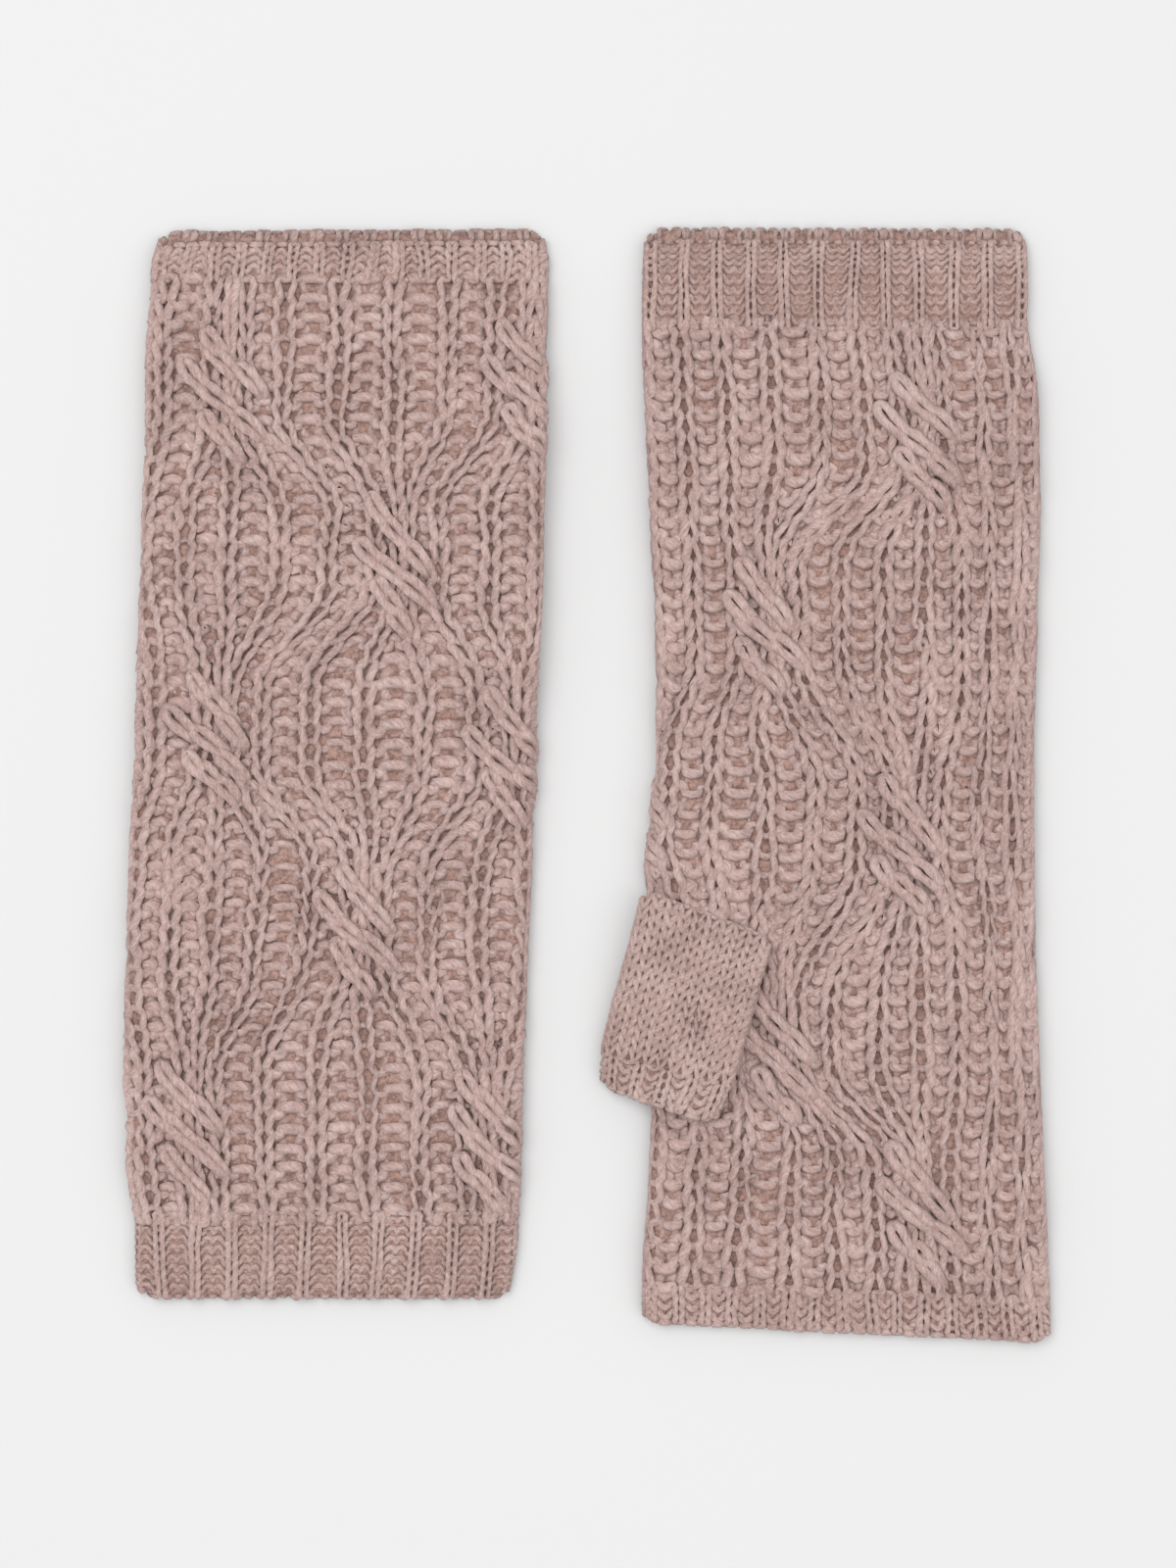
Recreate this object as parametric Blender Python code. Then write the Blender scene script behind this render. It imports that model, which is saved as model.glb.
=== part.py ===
"""A pair of fingerless knitted mittens, laid flat side by side.

Each mitten is a knitted tube pressed flat: a fine wrist rib, a chunky body with
raised wales and cable crossings, and a fine rib at the open finger end. A short
thumb tube with its own rib band is sewn to the palm. The left mitten shows the
back of the hand and lies on its thumb. The right mitten shows the palm, with the
thumb lying partly on it and partly past its edge.

The tables below are in millimetres: X across, Y along, Z up from the table top.
"""

import math

import bmesh
import bpy
import numpy as np

MM = 0.001

# Both layers of the body together, without its raised wales.
BODY_THICKNESS = 6.6

# Outlines: one row for each section, from the wrist to the fingers.
# (name, left x, left y, right x, right y, thickness of the flattened tube)
LEFT_ROWS = (
    ("wrist_edge", -111.4, -126.6, -19.0, -126.8, 3.6),
    ("cuff_middle", -112.0, -116.4, -17.4, -116.6, 4.4),
    ("wrist_seam", -112.2, -105.2, -16.7, -105.2, 4.9),
    ("heel", -113.9, -94.8, -16.2, -94.8, 6.3),
    ("forearm", -114.6, -74.4, -15.5, -74.4, BODY_THICKNESS),
    ("wrist", -113.9, -43.2, -14.3, -43.2, BODY_THICKNESS),
    ("palm", -111.7, 14.4, -11.9, 14.4, BODY_THICKNESS),
    ("thumb_top", -109.8, 72.0, -10.0, 72.0, BODY_THICKNESS),
    ("knuckles", -109.1, 104.0, -9.6, 104.0, 6.4),
    ("finger_seam", -107.9, 123.4, -9.5, 123.4, 5.2),
    ("finger_band", -107.3, 130.0, -9.5, 130.0, 4.6),
    ("finger_edge", -105.6, 136.2, -10.6, 136.8, 3.8),
)
RIGHT_ROWS = (
    ("wrist_edge", 13.4, 137.2, 108.0, 136.9, 3.6),
    ("cuff_middle", 12.8, 123.6, 108.4, 123.6, 4.4),
    ("wrist_seam", 12.8, 111.6, 108.6, 111.6, 4.9),
    ("heel", 13.1, 99.6, 110.8, 99.6, 6.3),
    ("forearm", 13.8, 81.6, 111.5, 81.6, BODY_THICKNESS),
    ("wrist", 16.2, 28.8, 110.5, 28.8, BODY_THICKNESS),
    ("hollow", 16.2, 7.2, 110.0, 7.2, BODY_THICKNESS),
    ("thumb_top", 13.8, -24.0, 110.2, -25.0, BODY_THICKNESS),
    ("thumb_side", 15.0, -44.0, 110.6, -46.0, BODY_THICKNESS),
    ("palm", 14.8, -86.4, 112.4, -88.8, BODY_THICKNESS),
    ("knuckles", 13.8, -103.2, 113.2, -106.8, 6.4),
    ("finger_seam", 12.8, -122.4, 113.9, -126.2, 5.2),
    ("finger_edge", 12.9, -132.4, 114.2, -137.4, 3.8),
)

# Thumb tubes, from the base on the palm to the open tip. Same columns.
LEFT_THUMB_ROWS = (
    ("base", -45.0, 35.5, -12.6, 35.5, 2.8),
    ("middle", -44.5, 57.6, -12.6, 57.6, 3.0),
    ("rib_seam", -44.0, 73.0, -12.8, 73.0, 3.0),
    ("tip", -43.6, 82.8, -13.2, 82.8, 2.6),
)
RIGHT_THUMB_ROWS = (
    ("base", 13.1, -25.6, 45.7, -38.2, 2.5),
    ("swell", 10.2, -37.0, 43.2, -47.0, 4.2),
    ("middle", 5.9, -52.8, 39.7, -60.0, 4.6),
    ("rib_seam", 2.9, -65.6, 35.7, -73.9, 4.2),
    ("tip", 2.3, -74.3, 31.2, -84.0, 3.4),
)

# Cable crossings: the centre of each one on the face.
LEFT_CABLES = (
    ("outer_high", -87.5, 99.6),
    ("outer_middle", -89.9, 15.6),
    ("outer_low", -97.1, -80.4),
    ("centre_high", -45.0, 57.6),
    ("centre_low", -54.6, -31.2),
    ("edge_high", -13.1, 100.8),
    ("edge_middle", -17.9, 10.8),
    ("edge_low", -23.2, -84.0),
)
RIGHT_CABLES = (
    ("outer_high", 83.6, 88.8),
    ("outer_middle", 79.8, -10.8),
    ("outer_low", 82.9, -101.3),
    ("inner_high", 44.5, 43.2),
    ("inner_low", 48.1, -62.4),
    ("edge", 13.3, -3.6),
)
# Strands that cross in front in every cable, as offsets from its centre.
CABLE_STRANDS = (
    ("upper", -6.0, 15.0, 6.5, 0.0),
    ("middle", -9.5, 6.0, 8.0, -11.0),
    ("lower", -7.0, -4.5, 4.0, -17.5),
)

# Knitting sizes.
LINING_GAP = 0.5
SEAM_GAP = 0.3
REST_GAP = 0.35
LEFT_WALES = {"first": 7.0, "pitch": 9.62, "count": 9}
RIGHT_WALES = {"first": 4.4, "pitch": 8.33, "count": 10}
WALE_RISE = 1.0
CABLE_RISE = 1.7
STRAND_WIDTH = 2.6
RIB_PITCH = 8.6
RIB_RISE = 0.6
BODY_ROW_SPACING = 4.0
RIB_ROW_SPACING = 6.0
INNER_ROW_SPACING = 9.0
THUMB_ROW_SPACING = 6.0

# How far a cable pulls its wales together: strength, reach across in wales, and
# the half height of the full pull and of the whole pull.
PULL_STRENGTH = 0.62
PULL_REACH = 2.45
PULL_FULL = 11.0
PULL_END = 36.0
# The pull dies away at the folds, and the relief over the last rows of the body.
EDGE_FADE_POWER = 6
RELIEF_RUN_OUT = 8.0

# At the top opening of each mitten the lower layer shows past the upper one.
OPENING_STEP = 2.2
OPENING_RUN = 12.0

# The right thumb sinks into the palm and droops past the palm's edge.
THUMB_DENT = 1.4
THUMB_DENT_MARGIN = 3.0
THUMB_DENT_FADE = 5.0
THUMB_DROOP_HEIGHT = 1.0
THUMB_DROOP_REACH = 11.0
THUMB_REST_INSIDE = 1.5
# The left mitten rises over the thumb under it.
LIFT_MARGIN = 4.0
LIFT_FADE = 24.0

# Columns across the underside, as fractions of the flat width.
PLAIN_UNDERSIDE = (0.2, 0.4, 0.6, 0.8)
RAISED_UNDERSIDE = (0.15, 0.3, 0.4, 0.47, 0.53, 0.58, 0.63, 0.75, 0.88)
THUMB_UNDERSIDE = (0.12, 0.25, 0.4, 0.65)
THUMB_TOP_COLUMNS = 7
# In each ring, the points before the face's own columns: fold, quarter, face edge.
FACE_START = 3
RIB_PROFILE = ((0.0, 1.0), (0.22, 0.0), (0.78, 0.0))
WALE_PROFILE = ((0.0, 1.0), (1 / 3, 0.15), (2 / 3, 0.15))

BODY_COLOUR = (0.434, 0.301, 0.275, 1.0)
RIB_COLOUR = (0.402, 0.275, 0.251, 1.0)
THUMB_COLOUR = (0.451, 0.319, 0.292, 1.0)
KNIT_ROUGHNESS = 0.92


def clear_scene():
    """Remove every object so the script can run again."""
    for thing in list(bpy.data.objects):
        bpy.data.objects.remove(thing, do_unlink=True)


def knit_material(name, colour):
    """Matt wool with no metal in it."""
    material = bpy.data.materials.new(name)
    material.use_nodes = True
    shader = material.node_tree.nodes["Principled BSDF"]
    shader.inputs["Base Color"].default_value = colour
    shader.inputs["Roughness"].default_value = KNIT_ROUGHNESS
    shader.inputs["Metallic"].default_value = 0.0
    return material


def ease(value):
    """Smooth step: 0 below 0, 1 above 1, flat at both ends."""
    t = np.clip(value, 0.0, 1.0)
    return t * t * (3.0 - 2.0 * t)


def smooth_curve(where, stations, values):
    """Cubic curve through the table's values at the given stations."""
    slope = np.gradient(values, stations)
    left = np.clip(np.searchsorted(stations, where, side="right") - 1, 0, len(stations) - 2)
    span = stations[left + 1] - stations[left]
    t = (where - stations[left]) / span
    start = (2 * t**3 - 3 * t**2 + 1) * values[left]
    start_slope = (t**3 - 2 * t**2 + t) * span * slope[left]
    end = (3 * t**2 - 2 * t**3) * values[left + 1]
    end_slope = (t**3 - t**2) * span * slope[left + 1]
    return start + start_slope + end + end_slope


def travel_of(rows):
    """Distance of each table row from the first one, along the middle line."""
    middle = np.array([((r[1] + r[3]) / 2, (r[2] + r[4]) / 2) for r in rows])
    steps = np.linalg.norm(np.diff(middle, axis=0), axis=1)
    return np.concatenate([[0.0], np.cumsum(steps)])


def station_of(rows, name):
    """Distance of the named row from the first one."""
    names = [r[0] for r in rows]
    return travel_of(rows)[names.index(name)]


def section_at(rows, station):
    """Left point, right point and thickness of the section at one station."""
    stations = travel_of(rows)
    columns = np.array([r[1:] for r in rows]).T
    values = [smooth_curve(station, stations, column) for column in columns]
    return np.array(values[0:2]), np.array(values[2:4]), values[4]


def flat_width_at(rows, station):
    """Width between the two round folds of the section at one station."""
    left, right, thickness = section_at(rows, station)
    return np.linalg.norm(right - left) - thickness


def stations_between(start, end, spacing):
    """Evenly spaced stations from start to end."""
    count = max(2, int(round(abs(end - start) / spacing)) + 1)
    return np.linspace(start, end, count)


def ring(section, radius, top_fractions, under_fractions):
    """Flattened ring of one section: points and how far each is on the top side.

    The ring starts at the left fold, goes over the top to the right fold and
    comes back along the underside. The folds are round and the layers flat.
    """
    left, right, thickness = section
    width = np.linalg.norm(right - left)
    inset = thickness / 2
    flat = width - 2 * inset
    half = radius * math.sqrt(0.5)
    across = [inset - radius, inset - half]
    height = [0.0, half]
    side = [0.0, 0.5]
    for fraction in [0.0] + list(top_fractions) + [1.0]:
        across.append(inset + fraction * flat)
        height.append(radius)
        side.append(1.0)
    across += [width - inset + half, width - inset + radius, width - inset + half]
    height += [half, 0.0, -half]
    side += [0.5, 0.0, 0.0]
    for fraction in [1.0] + list(reversed(under_fractions)) + [0.0]:
        across.append(inset + fraction * flat)
        height.append(-radius)
        side.append(0.0)
    across.append(inset - half)
    height.append(-half)
    side.append(0.0)
    fractions = np.array(across)[:, None] / width
    flat_points = left + (right - left) * fractions
    points = np.column_stack([flat_points, np.array(height) + inset])
    return points, np.array(side)


def box_weight(x, y, rows, margin, fade):
    """1 over the outline of a thumb, fading to 0 past a margin round it."""
    base_left, base_right, _ = section_at(rows, 0.0)
    tip_left, tip_right, _ = section_at(rows, travel_of(rows)[-1])
    base = (base_left + base_right) / 2
    tip = (tip_left + tip_right) / 2
    length = np.linalg.norm(tip - base)
    along = (tip - base) / length
    out = np.array([-along[1], along[0]])
    half_width = np.linalg.norm(base_right - base_left) / 2
    run = (x - base[0]) * along[0] + (y - base[1]) * along[1]
    off = (x - base[0]) * out[0] + (y - base[1]) * out[1]
    past_side = np.abs(off) - half_width - margin
    past_end = np.abs(run - length / 2) - length / 2 - margin
    return ease(1 - past_side / fade) * ease(1 - past_end / fade)


def cable_pull(x, y, cables, pitch):
    """Sideways shift of the wales towards each cable crossing, in millimetres."""
    shift = np.zeros_like(x)
    for _, centre_x, centre_y in cables:
        offset = x - centre_x
        wales = offset / pitch
        beside = np.exp(-((wales / PULL_REACH) ** 4))
        level = ease((PULL_END - np.abs(y - centre_y)) / (PULL_END - PULL_FULL))
        shift -= PULL_STRENGTH * offset * beside * level
    return shift


def cable_rise(x, y, cables):
    """Height of the strands that cross in front of each cable."""
    rise = np.zeros_like(x)
    for _, centre_x, centre_y in cables:
        for _, start_x, start_y, end_x, end_y in CABLE_STRANDS:
            run = np.array([end_x - start_x, end_y - start_y])
            px = x - centre_x - start_x
            py = y - centre_y - start_y
            t = np.clip((px * run[0] + py * run[1]) / (run @ run), 0.0, 1.0)
            distance = np.hypot(px - t * run[0], py - t * run[1])
            rise = np.maximum(rise, CABLE_RISE * np.exp(-((distance / STRAND_WIDTH) ** 2)))
    return rise


def wale_fractions(wales, flat_width):
    """Column places across the face and the wale relief of each one."""
    places = []
    relief = []
    for number in range(wales["count"]):
        for part, height in WALE_PROFILE:
            place = (wales["first"] + wales["pitch"] * (number + part)) / flat_width
            if place < 1.0 - 1.0 / flat_width:
                places.append(place)
                relief.append(height)
    return np.array(places), np.array(relief)


def rib_fractions(flat_width):
    """Column places and relief of a rib with one raised wale in each repeat."""
    repeats = int(round(flat_width / RIB_PITCH))
    places = []
    relief = []
    for number in range(repeats):
        for part, height in RIB_PROFILE:
            place = (number + 0.5 + part) / repeats
            if place < 1.0:
                places.append(place)
                relief.append(height)
    return np.array(places), np.array(relief)


def trough_fractions(flat_width):
    """Places half way between the raised wales of a rib."""
    repeats = int(round(flat_width / RIB_PITCH))
    return np.arange(1, repeats) / repeats


def close_tube(name, outer, inner, material):
    """One closed body from an outer and an inner stack of rings."""
    mesh = bpy.data.meshes.new(name)
    shape = bmesh.new()
    outer_rows = [[shape.verts.new(p * MM) for p in row] for row in outer]
    inner_rows = [[shape.verts.new(p * MM) for p in row] for row in inner]
    skin_rows(shape, outer_rows)
    skin_rows(shape, inner_rows)
    bridge_rings(shape, outer_rows[0], inner_rows[0])
    bridge_rings(shape, outer_rows[-1], inner_rows[-1])
    bmesh.ops.recalc_face_normals(shape, faces=shape.faces)
    shape.to_mesh(mesh)
    shape.free()
    for face in mesh.polygons:
        face.use_smooth = True
    mesh.materials.append(material)
    tube = bpy.data.objects.new(name, mesh)
    bpy.context.scene.collection.objects.link(tube)
    return tube


def skin_rows(shape, rows):
    """Quads between neighbouring rings."""
    for low, high in zip(rows, rows[1:]):
        count = len(low)
        for i in range(count):
            j = (i + 1) % count
            shape.faces.new((low[i], low[j], high[j], high[i]))


def ring_share(loop):
    """How far round its ring each point is, with the two folds at 0 and a half."""
    points = np.array([v.co for v in loop])
    right_fold = int(np.argmax(np.linalg.norm((points - points[0])[:, :2], axis=1)))
    lengths = np.linalg.norm(np.roll(points, -1, axis=0) - points, axis=1)
    walked = np.concatenate([[0.0], np.cumsum(lengths)])
    first_half = walked[: right_fold + 1] / walked[right_fold] / 2
    rest = walked[right_fold + 1 :] - walked[right_fold]
    second_half = 0.5 + rest / (walked[-1] - walked[right_fold]) / 2
    return np.concatenate([first_half, second_half])


def bridge_rings(shape, outer, inner):
    """Triangles across the open end of a wall, between two unlike rings."""
    outer_share = ring_share(outer)
    inner_share = ring_share(inner)
    i = 0
    j = 0
    while i < len(outer) or j < len(inner):
        take_outer = j >= len(inner)
        if i < len(outer) and j < len(inner):
            take_outer = outer_share[i + 1] <= inner_share[j + 1]
        a = outer[i % len(outer)]
        b = inner[j % len(inner)]
        if take_outer:
            shape.faces.new((a, b, outer[(i + 1) % len(outer)]))
            i += 1
        else:
            shape.faces.new((a, b, inner[(j + 1) % len(inner)]))
            j += 1


def opening_shift(points, station, opening, thickness):
    """Upper layer drawn back from the lower one at the opening it ends in."""
    if opening is None:
        return points
    nearness = ease(1 - abs(station - opening) / OPENING_RUN)
    points[:, 1] -= OPENING_STEP * nearness * np.clip(points[:, 2] / thickness, 0, 1)
    return points


def inner_rings(rows, stations, over, under, opening, lift):
    """Plain inside of a tube: the hollow is pressed almost shut."""
    rings = []
    for station in stations:
        section = section_at(rows, station)
        points, _ = ring(section, LINING_GAP / 2, over, under)
        points = opening_shift(points, station, opening, section[2])
        points[:, 2] += lift(points[:, 0], points[:, 1])
        rings.append(points)
    return rings


def no_lift(x, y):
    """Height of the underside where nothing lies under it."""
    return np.zeros_like(x)


def left_lift(x, y):
    """The left mitten's rise over its hidden thumb."""
    tallest = max(r[5] for r in LEFT_THUMB_ROWS)
    weight = box_weight(x, y, LEFT_THUMB_ROWS, LIFT_MARGIN, LIFT_FADE)
    return (tallest + REST_GAP) * weight


def right_dent(x, y):
    """Share of the thumb's dent in the right palm."""
    return box_weight(x, y, RIGHT_THUMB_ROWS, THUMB_DENT_MARGIN, THUMB_DENT_FADE)


def no_dent(x, y):
    """Share of the dent on a face that nothing lies on."""
    return np.zeros_like(x)


def body_tube(name, rows, wales, cables, under, lift, dent):
    """Body: raised wales drawn together at raised cable crossings."""
    start = station_of(rows, "wrist_seam") + SEAM_GAP / 2
    end = station_of(rows, "finger_seam") - SEAM_GAP / 2
    places, wale_relief = wale_fractions(wales, flat_width_at(rows, (start + end) / 2))
    stations = stations_between(start, end, BODY_ROW_SPACING)
    outer = []
    for station in stations:
        section = section_at(rows, station)
        points, top = ring(section, section[2] / 2, places, under)
        face = slice(FACE_START, FACE_START + len(places))
        x = points[face, 0].copy()
        y = points[face, 1].copy()
        edge_fade = 1 - (2 * places - 1) ** EDGE_FADE_POWER
        x += cable_pull(x, y, cables, wales["pitch"]) * edge_fade
        near_end = ease(min(station - start, end - station) / RELIEF_RUN_OUT)
        relief = np.maximum(WALE_RISE * wale_relief, cable_rise(x, y, cables))
        points[face, 0] = x
        points[face, 2] += relief * near_end * (1 - dent(x, y))
        points[:, 2] -= THUMB_DENT * dent(points[:, 0], points[:, 1]) * top
        points[:, 2] += lift(points[:, 0], points[:, 1])
        outer.append(points)
    inside = stations_between(start, end, INNER_ROW_SPACING)
    inner = inner_rings(rows, inside, under, under, None, lift)
    return close_tube(name, outer, inner, knit_material(name, BODY_COLOUR))


def rib_tube(name, rows, first, last, opening_row, opening_shows):
    """Rib at one end of a mitten: one raised wale in each repeat."""
    start = station_of(rows, first)
    end = station_of(rows, last)
    if opening_row == last:
        start += SEAM_GAP / 2
    else:
        end -= SEAM_GAP / 2
    opening = station_of(rows, opening_row) if opening_shows else None
    flat_width = flat_width_at(rows, (start + end) / 2)
    places, rib_relief = rib_fractions(flat_width)
    troughs = trough_fractions(flat_width)
    stations = stations_between(start, end, RIB_ROW_SPACING)
    outer = []
    for station in stations:
        section = section_at(rows, station)
        points, _ = ring(section, section[2] / 2, places, PLAIN_UNDERSIDE)
        points = opening_shift(points, station, opening, section[2])
        points[FACE_START : FACE_START + len(places), 2] += RIB_RISE * rib_relief
        outer.append(points)
    inner = inner_rings(rows, stations, troughs, PLAIN_UNDERSIDE, opening, no_lift)
    return close_tube(name, outer, inner, knit_material(name, RIB_COLOUR))


def right_thumb_floor(x, y):
    """What the right thumb lies on: the palm, then a droop past its edge."""
    rows = sorted((r[2], r[1]) for r in RIGHT_ROWS)
    edge = np.interp(y, [r[0] for r in rows], [r[1] for r in rows])
    inside = x - edge
    palm = BODY_THICKNESS - THUMB_DENT + REST_GAP
    reach = THUMB_DROOP_REACH + THUMB_REST_INSIDE
    share = ease((inside + THUMB_DROOP_REACH) / reach)
    return THUMB_DROOP_HEIGHT + (palm - THUMB_DROOP_HEIGHT) * share


def thumb_tube(name, rows, first, last, floor, colour):
    """Plain thumb tube, or its rib band, lying on whatever is under it."""
    start = station_of(rows, first)
    end = station_of(rows, last)
    if last == "rib_seam":
        end -= SEAM_GAP / 2
    if first == "rib_seam":
        start += SEAM_GAP / 2
    places = np.linspace(0, 1, THUMB_TOP_COLUMNS + 2)[1:-1]
    outer = []
    inner = []
    for station in stations_between(start, end, THUMB_ROW_SPACING):
        section = section_at(rows, station)
        skin, _ = ring(section, section[2] / 2, places, THUMB_UNDERSIDE)
        hollow, _ = ring(section, LINING_GAP / 2, THUMB_UNDERSIDE, THUMB_UNDERSIDE)
        for points in (skin, hollow):
            points[:, 2] += floor(points[:, 0], points[:, 1])
        outer.append(skin)
        inner.append(hollow)
    return close_tube(name, outer, inner, knit_material(name, colour))


def left_mitten():
    """Left mitten, back of the hand up, fingers towards +Y, on its thumb."""
    rib_tube("left_wrist_rib", LEFT_ROWS, "wrist_edge", "wrist_seam", "wrist_edge", False)
    body_tube(
        "left_body", LEFT_ROWS, LEFT_WALES, LEFT_CABLES, RAISED_UNDERSIDE, left_lift, no_dent
    )
    rib_tube("left_finger_rib", LEFT_ROWS, "finger_seam", "finger_edge", "finger_edge", True)
    thumb_tube("left_thumb", LEFT_THUMB_ROWS, "base", "rib_seam", no_lift, THUMB_COLOUR)
    thumb_tube("left_thumb_rib", LEFT_THUMB_ROWS, "rib_seam", "tip", no_lift, RIB_COLOUR)


def right_mitten():
    """Right mitten, palm up, wrist towards +Y, with its thumb on the palm."""
    rib_tube("right_wrist_rib", RIGHT_ROWS, "wrist_edge", "wrist_seam", "wrist_edge", True)
    body_tube(
        "right_body", RIGHT_ROWS, RIGHT_WALES, RIGHT_CABLES, PLAIN_UNDERSIDE, no_lift, right_dent
    )
    rib_tube("right_finger_rib", RIGHT_ROWS, "finger_seam", "finger_edge", "finger_edge", False)
    thumb_tube(
        "right_thumb", RIGHT_THUMB_ROWS, "base", "rib_seam", right_thumb_floor, THUMB_COLOUR
    )
    thumb_tube(
        "right_thumb_rib", RIGHT_THUMB_ROWS, "rib_seam", "tip", right_thumb_floor, RIB_COLOUR
    )


def main():
    """Build both mittens."""
    clear_scene()
    left_mitten()
    right_mitten()


main()
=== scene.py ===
"""Knits the pair of fingerless mittens stitch by stitch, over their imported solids.

Every course of every tube is one closed ring of yarn that loops through its
neighbours. Under the loops lies the ground: the backs of the stitches and the
felted fibres between them, a thin closed shell on the solid's own form.

Lengths are in millimetres until a mesh is made: X across, Y along, Z up from the
table. Travel runs along a tube from the wrist to the fingers, and from the base of
a thumb to its tip. Around runs over the top of a tube from its left fold, down the
right fold and back underneath.
"""

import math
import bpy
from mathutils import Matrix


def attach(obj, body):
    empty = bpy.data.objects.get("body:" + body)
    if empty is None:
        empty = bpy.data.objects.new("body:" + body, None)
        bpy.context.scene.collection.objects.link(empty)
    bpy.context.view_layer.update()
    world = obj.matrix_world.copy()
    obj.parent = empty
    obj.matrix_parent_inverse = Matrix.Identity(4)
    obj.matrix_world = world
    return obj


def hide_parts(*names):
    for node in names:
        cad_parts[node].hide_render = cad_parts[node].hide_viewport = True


bl_info = {
    "name": "Fingerless knitted mittens",
    "version": (1, 0, 0),
    "blender": (4, 5, 0),
    "location": "3D View > Sidebar > Mittens",
    "description": "Knits a pair of cabled fingerless mittens with ribs and thumbs",
    "category": "Add Mesh",
}

from typing import NamedTuple

import bpy
import numpy as np

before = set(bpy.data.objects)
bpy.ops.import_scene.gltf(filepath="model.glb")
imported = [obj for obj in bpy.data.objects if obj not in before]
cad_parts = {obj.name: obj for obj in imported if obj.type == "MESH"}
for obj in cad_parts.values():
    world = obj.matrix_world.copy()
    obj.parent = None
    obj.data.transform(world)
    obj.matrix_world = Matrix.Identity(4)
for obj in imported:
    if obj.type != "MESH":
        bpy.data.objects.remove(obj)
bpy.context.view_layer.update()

MM = 0.001


class Gauge(NamedTuple):
    """One kind of knitting: lengths in millimetres, sways and loops as shares.

    Radius of the yarn; sway of knit and of purl loops, as shares of their width;
    height of a loop, as a share of its course; how far knit and purl yarn dips to the
    back; how far stitches stand out; upward bow of a run of purl columns; flatness of
    purl heads; depth of the knit's middle surface in the solid; points in a stitch;
    and unevenness.
    """

    yarn: float
    knit_sway: float
    purl_sway: float
    loop: float
    dip: float
    purl_dip: float
    ridge: float
    bow: float
    bar: float
    depth: float
    segments: int
    drift: float


class Ends(NamedTuple):
    """How the stitches end at the start and the end of a tube.

    How far they stay back from it, or past it below 0; which of the two the columns
    lean towards, -1 or 1; and how many courses come before the first.
    """

    start: float
    end: float
    lean: int
    extra: int


class Columns(NamedTuple):
    """Columns of stitches round a tube.

    Where each one starts, its width, kind and share of yarn, and its number and count
    in its run of columns of one kind.
    """

    starts: object
    widths: object
    kinds: object
    yarns: object
    number: object
    count: object


class Tube(NamedTuple):
    """A flattened tube: its sections, and the ring that its stitches are counted on.

    Start and end are travels, depth is how far the ring lies inside the solid, and
    flat and fold are the lengths of one layer and one fold of the ring. Opening is the
    travel of an open edge that shows its back layer, and settle changes the height of
    a tube that does not lie straight on the table.
    """

    rows: tuple
    start: float
    end: float
    depth: float
    flat: float
    fold: float
    ends: Ends
    opening: object
    settle: object


# Height of the table that the photograph covers.
FRAME_HEIGHT_MM = 384.0

# Outlines: one row for each section, from the wrist to the fingers.
# (name, left x, left y, right x, right y, thickness of the flattened tube)
BODY_THICKNESS = 6.6
LEFT_ROWS = (
    ("wrist_edge", -111.4, -126.6, -19.0, -126.8, 3.6),
    ("cuff_middle", -112.0, -116.4, -17.4, -116.6, 4.4),
    ("wrist_seam", -112.2, -105.2, -16.7, -105.2, 4.9),
    ("heel", -113.9, -94.8, -16.2, -94.8, 6.3),
    ("forearm", -114.6, -74.4, -15.5, -74.4, BODY_THICKNESS),
    ("wrist", -113.9, -43.2, -14.3, -43.2, BODY_THICKNESS),
    ("palm", -111.7, 14.4, -11.9, 14.4, BODY_THICKNESS),
    ("thumb_top", -109.8, 72.0, -10.0, 72.0, BODY_THICKNESS),
    ("knuckles", -109.1, 104.0, -9.6, 104.0, 6.4),
    ("finger_seam", -107.9, 123.4, -9.5, 123.4, 5.2),
    ("finger_band", -107.3, 130.0, -9.5, 130.0, 4.6),
    ("finger_edge", -105.6, 136.2, -10.6, 136.8, 3.8),
)
RIGHT_ROWS = (
    ("wrist_edge", 13.4, 137.2, 108.0, 136.9, 3.6),
    ("cuff_middle", 12.8, 123.6, 108.4, 123.6, 4.4),
    ("wrist_seam", 12.8, 111.6, 108.6, 111.6, 4.9),
    ("heel", 13.1, 99.6, 110.8, 99.6, 6.3),
    ("forearm", 13.8, 81.6, 111.5, 81.6, BODY_THICKNESS),
    ("wrist", 16.2, 28.8, 110.5, 28.8, BODY_THICKNESS),
    ("hollow", 16.2, 7.2, 110.0, 7.2, BODY_THICKNESS),
    ("thumb_top", 13.8, -24.0, 110.2, -25.0, BODY_THICKNESS),
    ("thumb_side", 15.0, -44.0, 110.6, -46.0, BODY_THICKNESS),
    ("palm", 14.8, -86.4, 112.4, -88.8, BODY_THICKNESS),
    ("knuckles", 13.8, -103.2, 113.2, -106.8, 6.4),
    ("finger_seam", 12.8, -122.4, 113.9, -126.2, 5.2),
    ("finger_edge", 12.9, -132.4, 114.2, -137.4, 3.8),
)
LEFT_THUMB_ROWS = (
    ("base", -45.0, 35.5, -12.6, 35.5, 2.8),
    ("middle", -44.5, 57.6, -12.6, 57.6, 3.0),
    ("rib_seam", -44.0, 73.0, -12.8, 73.0, 3.0),
    ("tip", -43.6, 82.8, -13.2, 82.8, 2.6),
)
RIGHT_THUMB_ROWS = (
    ("base", 13.1, -25.6, 45.7, -38.2, 2.5),
    ("swell", 10.2, -37.0, 43.2, -47.0, 4.2),
    ("middle", 5.9, -52.8, 39.7, -60.0, 4.6),
    ("rib_seam", 2.9, -65.6, 35.7, -73.9, 4.2),
    ("tip", 2.3, -74.3, 31.2, -84.0, 3.4),
)

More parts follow.
